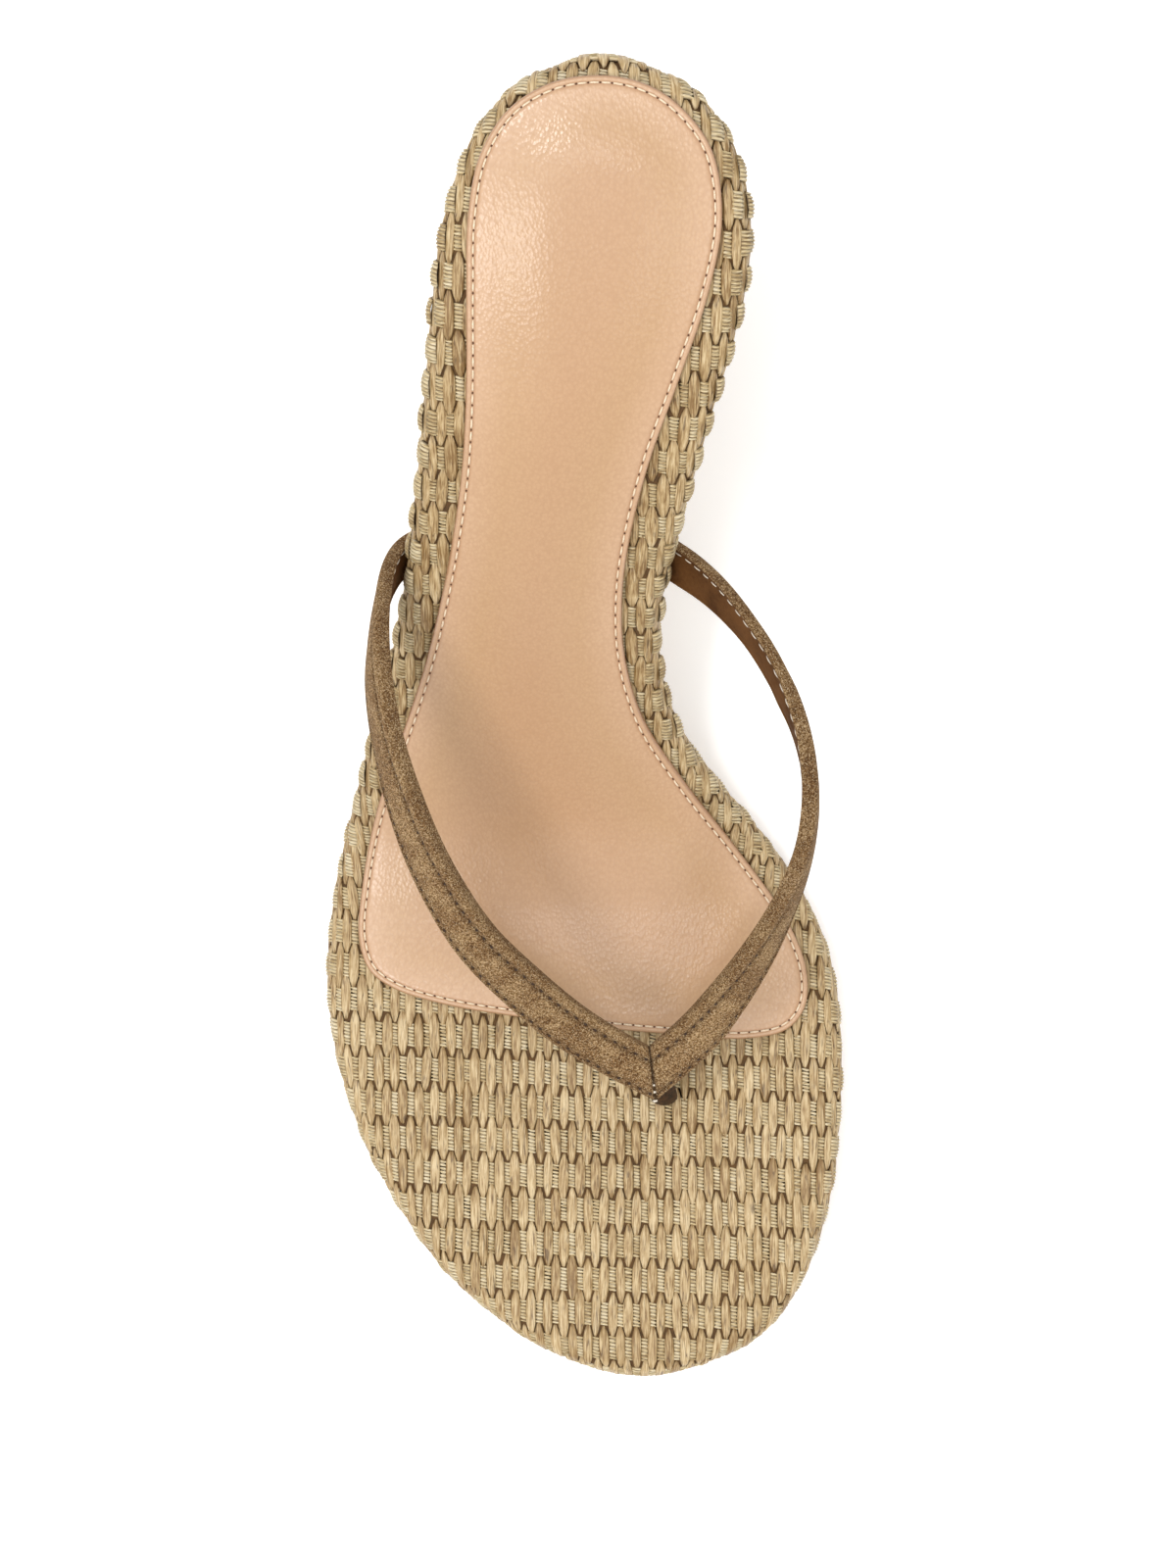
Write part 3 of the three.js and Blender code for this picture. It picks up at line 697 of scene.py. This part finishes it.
# Woven straw: strands in millimetres, alternating with bundles of thin weft in rows.
weave = {
    "columnPitch": 1.43, "rowPitch": 6.1, "tilt": 1.5, "seed": 11,
    "humpHalfLength": 4.35, "humpHalfWidth": 0.96, "humpCuts": (5, 8),
    "ribHalfLength": 2.2, "ribHalfWidth": 0.78, "ribCuts": (3, 14),
    "ribTop": -0.20, "ribValley": -0.50, "ribSlant": 0.16,
    # the cloth is pulled wider over the waist and heel
    "waistSpread": 0.15, "spreadCentre": -5.0, "spreadFromY": -25.0, "spreadOver": 40.0,
    # how far the strands differ, with the lean in degrees
    "widths": (-0.10, 0.10), "lengths": (-0.07, 0.06), "lean": 1.6, "pleat": 0.07, "across": 0.06,
    "along": 0.22, "sink": 0.06, "tone": (2.4, 2.0), "patternShift": 400,
    # on the rolled edge: how far strands go round it, and where and how much they rise or sink
    "rimReach": 10.4, "rimFrom": 0.4, "rimGrow": 2.2, "rimTo": 7.5, "rimFade": 2.0, "rimWiden": 0.3,
    "rimLift": 0.85, "rimSink": -0.24, "toeRimEase": 0.45, "endRimEase": 0.9,
    "slopeShade": -0.20, "heelEndLift": 0.5, "heelEndLight": 0.5,
    "underSock": 5.0, "strapRoom": 2.6, "postRoom": 1.3, "hiddenRows": 6,
    "wallStart": 0.75, "wallPastEnds": 1.5, "wallPastTop": 0.6, "wallEdgeGap": 0.05,
    # the core: how far it is drawn in, and from what height and how much the wedge's rises again
    "coreDrawIn": 0.6, "closeFrom": 4.0, "closeGap": 0.5,
}
strandBorder = 0.98  # points past this share of the half size are a strand's border
# Section and length of a flat strand as shares of its half sizes, its heights in millimetres, and its painted
# shade.
humpProfile = {
    "sides": ([0, 0.2, 0.6, 1], [0, 0.36, 0.82, 1]), "stations": [0, 0.25, 0.5, 0.75, 1],
    "reach": [0, 0.45, 0.70, 0.91, 1], "narrow": [1, 0.97, 0.70, 0.34, 0.14],
    "crest": [0, -0.03, -0.10, -0.24, -0.34],
    "sideDrop": 0.12, "borderDrop": 0.42, "endDrop": 0.26, "lowest": -0.8,
    "flankFrom": 0.7, "flankShade": 0.35, "borderShade": 0.8, "endFade": 10,
}
ribProfile = {"borderDrop": 0.22, "end": -0.75}


def closeUnder():
    bpy.ops.mesh.region_to_loop()
    bpy.ops.mesh.edge_face_add()


def closedGrid(name, cuts):
    # flat grid closed underneath, to be bent into a strand
    clearSelection()
    bpy.ops.mesh.primitive_grid_add(x_subdivisions=cuts[0], y_subdivisions=cuts[1], size=2)
    piece = named(bpy.context.object, name)
    meshSteps((closeUnder, {}), facesOutward)
    return piece


def humpShape(template):
    hump = humpProfile
    side, along = pointsOf(template)[:, :2].T
    lane = np.round((side + 1) * weave["humpCuts"][0] / 2).astype(int)
    side = np.sign(side) * np.interp(abs(side), *hump["sides"])
    reach, narrow, crest = (np.interp(abs(along), hump["stations"], hump[line])
                            for line in ("reach", "narrow", "crest"))
    border = abs(side) > strandBorder
    lift = np.where(border, crest - hump["borderDrop"], crest - hump["sideDrop"] * side ** 2)
    lift = np.where(abs(along) > strandBorder, lift - hump["endDrop"], lift)
    # painted shade: darker at the sides, the border and the tips, where a strand dives under its neighbours
    flank = (abs(side) > hump["flankFrom"]) * hump["flankShade"] * reach
    rim = border * (hump["borderShade"] + (1 - hump["borderShade"]) * reach)
    dark = np.maximum(rim, np.maximum(reach ** hump["endFade"], flank))
    return {"side": side * narrow, "along": np.sign(along) * reach, "lift": np.maximum(lift, hump["lowest"]),
            "depth": dark, "lane": lane}


def ribShape(template):
    # bundle of threads across the row: every other cut is a valley, painted in shade
    side, along = pointsOf(template)[:, :2].T
    step = np.round((along + 1) * weave["ribCuts"][1] / 2).astype(int)
    valley = (step % 2 == 0) * 1.0
    lift = np.where(valley > 0.5, weave["ribValley"], weave["ribTop"])
    lift = np.where(abs(side) > strandBorder, lift - ribProfile["borderDrop"], lift)
    lift = np.where(abs(along) > strandBorder, ribProfile["end"], lift)
    slant = weave["ribSlant"] / weave["ribHalfLength"]
    return {"side": side, "along": along - slant * side, "lift": lift, "depth": valley, "lane": 0 * step}


def weaveCentres(acrossRange, alongRange, phase):
    # two shifted grids of strand middles on a flat cloth
    pitch, row = weave["columnPitch"], weave["rowPitch"]
    columns = np.arange(math.floor(acrossRange[0] / pitch), math.ceil(acrossRange[1] / pitch) + 1)
    rows = np.arange(math.floor(alongRange[0] / row / 2) - 1, math.ceil(alongRange[1] / row / 2) + 2)
    column, number = (grid.ravel() for grid in np.meshgrid(columns, rows))
    across = column * pitch
    along = (2 * number + (column % 2) + phase) * row - math.tan(math.radians(weave["tilt"])) * across
    return across, along


def spreadAt(along):
    past = np.interp(along, lineRun, lineY) - weave["spreadFromY"]
    return 1 + weave["waistSpread"] * smoothStep(past / weave["spreadOver"])


def pulled(across, along):
    centre = weave["spreadCentre"]
    return centre + (across - centre) * spreadAt(along)


def bendStrands(rng, centreAcross, centreAlong, kind):
    # a row of points for each strand: across, along and lift
    loose, count, lane = kind["loose"], len(centreAcross), kind["lane"]
    wide, long = (kind[half] * rng.uniform(*(1 + loose * end for end in weave[ends]), (count, 1))
                  for half, ends in (("halfWidth", "widths"), ("halfLength", "lengths")))
    lean = np.radians(rng.normal(0, weave["lean"] * loose, (count, 1)))
    # pleats: each lengthwise lane of a strand folds by its own amount
    pleat = rng.normal(0, weave["pleat"] * loose, (count, lane.max() + 1))
    pleat[:, [0, -1]] = 0
    offAcross = rng.normal(0, weave["across"] * loose, (count, 1))
    offAlong = rng.normal(0, weave["along"] * loose, (count, 1))
    sink = -abs(rng.normal(0, weave["sink"] * loose, (count, 1)))
    flatX = kind["side"] * wide
    flatY = kind["along"] * long
    across = centreAcross[:, None] + offAcross + flatX * np.cos(lean) + flatY * np.sin(lean)
    run = centreAlong[:, None] + offAlong + flatY * np.cos(lean) - flatX * np.sin(lean)
    return across, run, kind["lift"] + sink + pleat[:, lane]


hiddenRows = lateralBranch[:weave["hiddenRows"]] + medialBranch[:weave["hiddenRows"]]
strapMiddles = np.array([[(r[k] + r[k + 3]) / 2 for k in range(3)] for r in hiddenRows])
postMiddles = np.array(toePost)[:, :3]


def clearOfStrap(places):
    # nothing is woven where the strap's ends and the toe post go in
    clear = np.ones(len(places), bool)
    for middles, room in ((strapMiddles, weave["strapRoom"]), (postMiddles, weave["postRoom"])):
        gap = np.linalg.norm(places[:, None] - (middles + [0, 0, bedAtBall])[None], axis=-1)
        clear &= gap.min(1) >= room
    return clear


def layStrands(name, kind, rng, place, tone, node):
    side, along, count = kind["side"], kind["along"], len(tone)
    # coordinates that run along each strand, with a start of their own
    start = rng.uniform(0, weave["patternShift"], (count, 1, 3))
    strand = np.stack([side * kind["halfWidth"], along * kind["halfLength"], 0 * side], axis=-1)[None] + start
    piece = layCopies(name, kind["template"], place, [kind["material"]], np.repeat(tone, len(side)),
                      strand.reshape(-1, 3), np.tile(kind["depth"], count))
    onRoot(piece, node)
    print(name, "strands:", count)


def weaveBoard(name, kind, seedStep):
    rng = np.random.default_rng(weave["seed"] + seedStep)
    low, high = (end(flatRing["place"], axis=0) for end in (np.min, np.max))
    low, high = low - weave["rimReach"], high + weave["rimReach"]
    across, along = weaveCentres((low[0], high[0]), (low[1], high[1]), kind["phase"])
    out, away = nearestOn(flatRing, np.stack([pulled(across, along), along], axis=-1))[1:]
    keep = away < weave["rimReach"]
    across, along, away, facing = (part[keep] for part in (across, along, away, out[:, 1] ** 2))
    plan = onBoard(pulled(across, along), along, np.zeros(len(across)))
    hidden = (nearestOn(ringFrom(sockOutline), plan[:, :2])[2] < -weave["underSock"]) & (away < rimRadius)
    keep = ~hidden & clearOfStrap(plan)
    across, along, away, facing = (part[keep] for part in (across, along, away, facing))
    u, v, h = bendStrands(rng, across, along, kind)
    # over the rolled edge the weft stands proud and the strands are pulled in
    onRim = (np.clip((away - weave["rimFrom"]) / weave["rimGrow"], 0, 1)
             * np.clip((weave["rimTo"] - away) / weave["rimFade"], 0, 1))
    onSlope = (spreadAt(along) - 1) / weave["waistSpread"]
    atHeelEnd = facing * onSlope
    eased = (1 - weave["toeRimEase"] * (1 - onSlope)) * (1 - weave["endRimEase"] * facing)
    h = h + (onRim * eased * kind["rimLift"])[:, None] * (1 - 0.5 * kind["along"] ** 2)
    h = h + (onRim * atHeelEnd * weave["heelEndLift"])[:, None]
    if kind["rimLift"] > 0:
        u = u + onRim[:, None] * weave["rimWiden"] * kind["side"] * kind["halfWidth"]
    u, v, h = u.ravel(), v.ravel(), h.ravel()
    # painted shade: the straw of the slope is painted a little darker, and painted light: the heel's end a
    # little lighter
    tone = rng.beta(*weave["tone"], len(along))
    tone = tone + weave["slopeShade"] * onSlope + weave["heelEndLight"] * atHeelEnd
    layStrands(name, kind, rng, onBoard(pulled(u, v), v, h), tone, "footbed_board")


def weaveWall(name, kind, seedStep):
    rng = np.random.default_rng(weave["seed"] + seedStep)
    end, past, gap = wallRun[-1], weave["wallPastEnds"], weave["wallEdgeGap"]
    level, run = weaveCentres((0, wallTop.max()), (0, end), kind["phase"])
    level = level + wallFloor + weave["wallStart"]
    top = alongWall(wallTop, np.clip(run, 0, end)) + weave["wallPastTop"]
    keep = (run > -past) & (run < end + past) & (level > wallFloor) & (level < top)
    level, run = level[keep], run[keep]
    u, v, h = bendStrands(rng, 0 * level, run, kind)
    z = np.maximum(level[:, None] - u, wallFloor + gap)
    place = onWall(np.clip(v, gap, end - gap).ravel(), z.ravel(), h.ravel())
    layStrands(name, kind, rng, place, rng.beta(*weave["tone"], len(level)), "wedge_heel")


strands = {
    "Humps": {"template": closedGrid("hump_template", weave["humpCuts"]), "phase": 0, "loose": 1.0,
              "halfWidth": weave["humpHalfWidth"], "halfLength": weave["humpHalfLength"],
              "rimLift": weave["rimSink"], "material": humpStraw},
    "Ribs": {"template": closedGrid("rib_template", weave["ribCuts"]), "phase": 1, "loose": 0.5,
             "halfWidth": weave["ribHalfWidth"], "halfLength": weave["ribHalfLength"],
             "rimLift": weave["rimLift"], "material": ribStraw},
}
strands["Humps"].update(humpShape(strands["Humps"]["template"]))
strands["Ribs"].update(ribShape(strands["Ribs"]["template"]))
for seedStep, kindName in enumerate(strands):
    weaveBoard("board" + kindName, strands[kindName], seedStep)
for seedStep, kindName in enumerate(strands, len(strands)):
    weaveWall("wedge" + kindName, strands[kindName], seedStep)
for kind in strands.values():
    bpy.data.objects.remove(kind["template"], do_unlink=True)

boardCore = copyOfSolid("footbed_board", "boardCore", weave["coreDrawIn"], shadedCoreStraw)
onRoot(boardCore, "footbed_board")
wedgeCore = copyOfSolid("wedge_heel", "wedgeCore", weave["coreDrawIn"], shadedCoreStraw, keepHeight=True)
onRoot(wedgeCore, "wedge_heel")
print("woven straw ready")


# Edge: inward steps and lifts, up the cut edge, over the fold, into the stitched line and out of it.
sock = {
    "gap": 0.3, "wall": 0.72, "firstRow": 1.2, "rowStep": 1.8, "firstColumn": 5.0, "columnStep": 3.0,
    "foldTop": 0.4, "planHeight": 1.2,
    "crown": 1.3, "crownFrom": 1.6, "crownReach": 12.0, "crownAlong": ([-30, 20, 60], [0.35, 0.5, 1.0]),
    "edge": [(0.20, 0.30), (0.26, 0.14), (0.28, -0.04), (0.20, -0.14), (0.26, 0.0), (0.24, 0.14),
             (0.55, 0.08)],
    "stitchInset": 1.08, "stitchPitch": 1.87, "seamHeights": (1.0, 2.0),
    # length, width, lift and droop
    "stitch": (1.45, 0.36, 0.14, 0.16), "hole": (0.8, 0.34, -0.08, 0.0),
}


def foldEdge():
    bpy.ops.mesh.extrude_region_move(TRANSFORM_OT_translate={"value": (0, 0, sock["wall"] * mm)})
    for inward, lift in sock["edge"]:
        bpy.ops.mesh.inset(thickness=inward * mm, depth=lift * mm, use_even_offset=True)


def onBed(x, y, height):
    # over the bed, straight above the plan place
    above = rimRadius + sock["gap"]
    return bedPoint(x, bedRowUnder(y, above + sock["planHeight"]), above + height)


def makeSock():
    clearSelection()
    count = len(sockOutline)
    bpy.ops.mesh.primitive_circle_add(vertices=count, radius=0.03, fill_type="NGON")
    piece = named(bpy.context.object, "sockSheet")
    flat = np.column_stack([sockOutline, np.zeros(count)]) * mm
    circle = pointsOf(piece)
    turn = np.unwrap(np.arctan2(circle[:, 1], circle[:, 0]))
    movePoints(piece, flat if turn[-1] > turn[0] else flat[::-1])
    low, high = sockOutline.min(axis=0), sockOutline.max(axis=0)
    rows = np.arange(low[1] + sock["firstRow"], high[1], sock["rowStep"])
    columns = np.arange(low[0] + sock["firstColumn"], high[0], sock["columnStep"])
    meshSteps((foldEdge, {}), *(cutStep(y * mm, (0, 1, 0)) for y in rows),
              *(cutStep(x * mm, (1, 0, 0)) for x in columns), facesOutward)
    drawn = pointsOf(piece) / mm
    inside = -nearestOn(sockRing, drawn[:, :2])[2]
    pointField(piece.data, "fromEdge", inside)
    # the leather bows over the middle of the heel and falls toward its edges
    share = smoothStep((inside - sock["crownFrom"]) / sock["crownReach"])
    swell = share * np.interp(drawn[:, 1], *sock["crownAlong"])
    lifted = drawn[:, 2] + (drawn[:, 2] > sock["foldTop"]) * sock["crown"] * swell
    movePoints(piece, inFrame(onBed(drawn[:, 0], drawn[:, 1], lifted)))
    smoothBelow(50)
    giveMaterials(piece, sockLeather)
    onRoot(piece, "sock")


sewing = {"taper": 0.30, "flatness": 0.8, "lengths": (0.92, 1.08), "patternShift": 50}


def stitchTemplate(name):
    # a short bar of thread, cut across so that it can bend
    clearSelection()
    bpy.ops.mesh.primitive_cylinder_add(vertices=7, radius=0.5, depth=2, rotation=(math.pi / 2, 0, 0))
    piece = named(bpy.context.object, name)
    bpy.ops.object.transform_apply(location=True, rotation=True, scale=True)
    meshSteps(*(cutStep(y, (0, 1, 0)) for y in (-0.6, 0.0, 0.6)))
    return piece


def sewn(name, template, frames, size, thread, node, seed):
    # frames: middle, forward, sideways and upward of every stitch
    rng = np.random.default_rng(seed)
    length, width, lift, droop = size
    bar = pointsOf(template)
    along = bar[:, 1]
    narrow = 1 - sewing["taper"] * along ** 2
    shapeSide = bar[:, 0] * narrow * width
    shapeUp = bar[:, 2] * narrow * width * sewing["flatness"] + lift - droop * along ** 2
    middle, forward, sideways, upward = frames
    count = len(middle)
    longer = rng.uniform(*sewing["lengths"], (count, 1))
    place = (middle[:, None] + forward[:, None] * (along[None] * length / 2 * longer)[..., None]
             + sideways[:, None] * shapeSide[None, :, None] + upward[:, None] * shapeUp[None, :, None])
    tone = np.repeat(rng.random(count), len(bar))
    shift = rng.uniform(0, sewing["patternShift"], (count, 3))
    strand = np.tile(bar, (count, 1)) + np.repeat(shift, len(bar), axis=0)
    piece = layCopies(name, template, place.reshape(-1, 3), [thread], tone, strand)
    onRoot(piece, node)
    print(name, "stitches:", count)


def holeTemplate(name):
    # flat dot of painted shade, as the dark of a needle hole
    clearSelection()
    bpy.ops.mesh.primitive_cylinder_add(vertices=8, radius=0.5, depth=1)
    return named(bpy.context.object, name)


def framesAlong(points, upward):
    forward = unit(np.roll(points, -1, axis=0) - np.roll(points, 1, axis=0))
    sideways = unit(np.cross(forward, upward))
    return points, forward, sideways, np.cross(sideways, forward)


makeSock()
seam = evenly(sockRing["place"] - sockRing["out"] * sock["stitchInset"], fineness["sockSeam"])
seamLength = runAlong(np.vstack([seam, seam[:1]]))[-1]
seamPlan = evenly(seam, 2 * int(round(seamLength / sock["stitchPitch"])))
seamTop, seamOver = (onBed(*seamPlan.T, np.full(len(seamPlan), height)) for height in sock["seamHeights"])
seamFrames = framesAlong(seamTop, seamOver - seamTop)
threadBar = stitchTemplate("thread_template")
holeDot = holeTemplate("hole_template")
sewn("sockStitches", threadBar, [part[::2] for part in seamFrames], sock["stitch"], creamThread,
     "sock", 5)
sewn("sockHoles", holeDot, [part[1::2] for part in seamFrames], sock["hole"], sockHoleShade,
     "sock", 6)
print("sock ready")


strap = {
    "cuts": 6, "aheadStep": 0.004,
    # thickness at table rows: the suede is doubled from the side of the foot to the toes
    "lateralThickness": ([0, 3, 6, 14], [2.2, 2.5, 2.9, 2.7]),
    "medialThickness": ([0, 6.6, 7.1, 9, 17], [2.0, 2.1, 2.5, 2.8, 2.7]),
    "section": [  # share of half width, share of half thickness: over the outside, back along the lining
        (-1.0, 0.0), (-0.985, 0.45), (-0.93, 0.80), (-0.84, 0.96), (-0.70, 1.0), (-0.58, 0.88),
        (-0.50, 0.60), (-0.42, 0.88), (-0.25, 1.0), (0.0, 1.04), (0.25, 1.04), (0.5, 0.99),
        (0.68, 0.90), (0.78, 0.64), (0.86, 0.86), (0.93, 0.80), (0.98, 0.5), (1.0, 0.0),
        (0.985, -0.5), (0.95, -0.85), (0.91, -0.96), (0.885, -0.92), (0.86, -0.82), (0.5, -0.92),
        (0.0, -0.98), (-0.5, -0.92), (-0.86, -0.82), (-0.885, -0.92), (-0.91, -0.96), (-0.95, -0.85),
        (-0.985, -0.5),
    ],
    "liningShare": 0.88,
    # burnished edges, and painted shade in the stitch grooves
    "burnishAndShade": [0.45, 0.3, 0.2, 0.1, 0.0, 0.5, 1.0, 0.5, 0, 0, 0, 0, 0.35, 1.0, 0.35, 0.2, 0.6, 0.8,
                0.9, 0.8, 0.6, 0.6, 0.6, 0, 0, 0, 0.3, 0.3, 0.3, 0.3, 0.4],
    # the seam: its last cut as a share of a table row, how far the end reaches in, its dip and its painted
    # shade
    "seamCut": 0.0625, "seamReach": 0.2, "seamDip": [0.96, 0.80, 0.30], "seamShade": 1.3,
    "seamShadeFade": 0.25, "postCuts": 26, "postAround": 20,
    # rows of stitches: share of half width, share of half thickness, first and last place, pitch
    "brownRows": [(-0.50, 0.60, 0.16, 0.985, 2.1), (0.78, 0.64, 0.16, 0.985, 2.1)],
    "paleRow": (-0.72, -0.87, 0.10, 0.98, 2.6),
    "seamRow": [0.36, 0.62, 0.95], "seamLevel": 0.85,
    # length, width, lift and droop
    "brownStitch": (1.2, 0.34, 0.10, 0.2), "brownHole": (1.0, 0.55, 0.02, 0.0), "holeAhead": 1.05,
    "whiteStitch": (0.7, 0.42, 0.1, 0.1), "paleStitch": (1.6, 0.25, 0.05, 0.08),
}


def branchFrame(rows, outerSide, t):
    rows = np.array(rows, float)
    rows[:, [2, 5]] += bedAtBall
    rear, front = rows[:, :3], rows[:, 3:]
    t = np.asarray(t, float)
    middle = (curveAt(rear, t, False) + curveAt(front, t, False)) / 2
    half = (curveAt(front, t, False) - curveAt(rear, t, False)) / 2
    later, sooner = np.minimum(t + strap["aheadStep"], 1), np.maximum(t - strap["aheadStep"], 0)
    heading = (curveAt(rear, later, False) + curveAt(front, later, False)
               - curveAt(rear, sooner, False) - curveAt(front, sooner, False))
    heading = unit(heading)
    return middle, half, heading, unit(np.cross(half, heading)) * outerSide


def halfThickness(rows, t):
    at, thick = strap["lateralThickness" if rows is lateralBranch else "medialThickness"]
    return np.interp(np.asarray(t) * (len(rows) - 1), at, thick) / 2


def makeBranch(name, rows, outerSide):
    # the last cuts lie close together and dip into the seam between the branches, which is painted in shade
    last = strap["seamCut"] / (len(rows) - 1)
    stations = np.append(np.linspace(0, 1 - last, (len(rows) - 1) * strap["cuts"]), [1 - last / 2, 1])
    middle, half, heading, lift = branchFrame(rows, outerSide, stations)
    middle[-1] += heading[-1] * strap["seamReach"]
    section = np.array(strap["section"])
    thick = halfThickness(rows, stations)
    thick[-3:] *= strap["seamDip"]
    rings = (middle[:, None] + half[:, None] * section[None, :, :1]
             + (lift * thick[:, None])[:, None] * section[None, :, 1:])
    faceMiddle = (section + np.roll(section, -1, axis=0)) / 2
    isLining = (faceMiddle[:, 1] < -0.5) & (abs(faceMiddle[:, 0]) < strap["liningShare"])
    burnishAndShade = np.tile(strap["burnishAndShade"], (len(stations), 1))
    burnishAndShade[-2:] = strap["seamShade"]
    burnishAndShade[-3] = np.maximum(burnishAndShade[-3], strap["seamShadeFade"])
    piece = skinThrough(name, rings, isLining.astype(int), burnishAndShade, suede, lining)
    onRoot(piece, "strap_upper")


def makePost():
    cuts, around = strap["postCuts"], strap["postAround"]
    x, y, z, width, depth = curveAt(np.array(toePost), np.linspace(0, 1, cuts), False).T[..., None]
    angle = 2 * np.pi * np.arange(around)[None] / around
    rings = np.stack([x + width / 2 * np.cos(angle), y + depth / 2 * np.sin(angle),
                      z + bedAtBall + 0 * angle], axis=-1)
    piece = skinThrough("toePost", rings, np.zeros(around, int), np.zeros((cuts, around)), postLeather)
    onRoot(piece, "strap_upper")


def strapRow(rows, outerSide, share, level, fromT, toT, pitch):
    # frames of a row of stitches on a branch
    def placeAt(t):
        middle, half, heading, lift = branchFrame(rows, outerSide, t)
        return middle + half * share + lift * (halfThickness(rows, t) * level)[:, None], heading, lift

    t = np.linspace(fromT, toT, fineness["strapRow"])
    run = runAlong(placeAt(t)[0])
    place, heading, lift = placeAt(np.interp(np.arange(pitch / 2, run[-1], pitch), run, t))
    across = unit(np.cross(heading, lift * np.sign(level)))
    return place, heading, across, np.cross(across, heading)


def acrossSeam(shares, level):
    # frames of short stitches over the seam where the two branches meet
    middle, half, heading, lift = (part[0] for part in branchFrame(medialBranch, -1, np.array([1.0])))
    place = np.array([middle + half * share + lift * level for share in shares])
    sideways = unit(half)
    return place, *(np.tile(part, (len(shares), 1)) for part in (np.cross(sideways, lift), sideways, lift))


def joinFrames(*rows):
    return tuple(np.concatenate(parts) for parts in zip(*rows))


branches = ((lateralBranch, 1), (medialBranch, -1))
for name, branch in zip(("strapLateral", "strapMedial"), branches):
    makeBranch(name, *branch)
makePost()
brownRows = joinFrames(*(strapRow(*branch, *row) for branch in branches for row in strap["brownRows"]))
holeRows = (brownRows[0] + brownRows[1] * strap["holeAhead"], *brownRows[1:])
paleRows = joinFrames(*(strapRow(*branch, *strap["paleRow"]) for branch in branches))
seamRow = acrossSeam(strap["seamRow"], strap["seamLevel"])
for name, template, frames, size, thread, seed in (
        ("strapStitches", threadBar, brownRows, strap["brownStitch"], brownThread, 7),
        ("strapHoles", holeDot, holeRows, strap["brownHole"], holeShade, 9),
        ("seamStitches", threadBar, seamRow, strap["whiteStitch"], whiteThread, 10),
        ("liningStitches", threadBar, paleRows, strap["paleStitch"], whiteThread, 8)):
    sewn(name, template, frames, size, thread, "strap_upper", seed)
for template in (threadBar, holeDot):
    bpy.data.objects.remove(template, do_unlink=True)
print("strap ready")


# the outsole keeps its solid
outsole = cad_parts["outsole"]
for place in outsole.material_slots:
    place.material = outsoleLeather


studio = {
    "floorSize": 3.0, "floorGlow": 0.22, "sky": 0.795,
    "cameraHeight": 600.0, "sensor": 36, "lensInPixels": 3450, "pictureHeight": 1600,
    "lights": [  # name, place, width, length along the shoe, power, whether gloss shows it
        ("keyLight", (-0.36, 0.16, 1.25), 0.21, 0.21, 3.7, True),
        ("fillLight", (-0.1, -0.2, 1.5), 1.6, 1.6, 5.8, False),
        ("glossLight", (-0.40, -0.47, 1.05), 0.20, 0.52, 3.2, True),
        ("farGlossLight", (0.36, -0.50, 1.04), 0.26, 0.60, 1.1, True),
        ("topLight", (0.022, -0.072, 1.3), 0.11, 0.15, 0.8, True),
    ],
    "lightsTarget": (0, 0, 0.02),
}
clearSelection()
bpy.ops.mesh.primitive_plane_add(size=studio["floorSize"])
floor = named(bpy.context.object, "floor")
floorFinish = Finish("floor_paper", 0.9, Specular_IOR_Level=0.1, Emission_Strength=studio["floorGlow"])
floorFinish.shader.inputs["Emission Color"].default_value = (1, 1, 1, 1)
paper = floorFinish.grey(floorFinish.noise(floorFinish.coordinates(), 0.02), 0.3, 0.7, 0.95, 0.97)
giveMaterials(floor, floorFinish.finish(paper))


def addLight(name, place, width, length, power, inGloss):
    bpy.ops.object.light_add(type="AREA", location=place)
    lamp = bpy.context.object
    lamp.name = name
    lamp.data.shape = "ELLIPSE"
    lamp.data.size = width
    lamp.data.size_y = length
    lamp.data.energy = power
    lamp.visible_glossy = inGloss
    back = (Vector(place) - Vector(studio["lightsTarget"])).normalized()
    side = Vector((0, 1, 0)).cross(back).normalized()
    lamp.rotation_euler = Matrix((side, back.cross(side), back)).transposed().to_euler()


for light in studio["lights"]:
    addLight(*light)
world = bpy.data.worlds.new("studioSky")
bpy.context.scene.world = world
world.use_nodes = True
world.node_tree.nodes["Background"].inputs["Color"].default_value = (1, 1, 1, 1)
world.node_tree.nodes["Background"].inputs["Strength"].default_value = studio["sky"]
bpy.context.scene.view_settings.view_transform = "Standard"

ballTop = bedAtBall * mm
bpy.ops.object.camera_add(location=(toFrame[0] * mm, toFrame[1] * mm, ballTop + studio["cameraHeight"] * mm))
camera = bpy.context.object
camera.name = "photoCamera"
camera.data.sensor_width = studio["sensor"]
camera.data.lens = studio["lensInPixels"] / studio["pictureHeight"] * studio["sensor"]
camera.data.clip_start = 0.01
bpy.context.scene.camera = camera
print("stage ready")
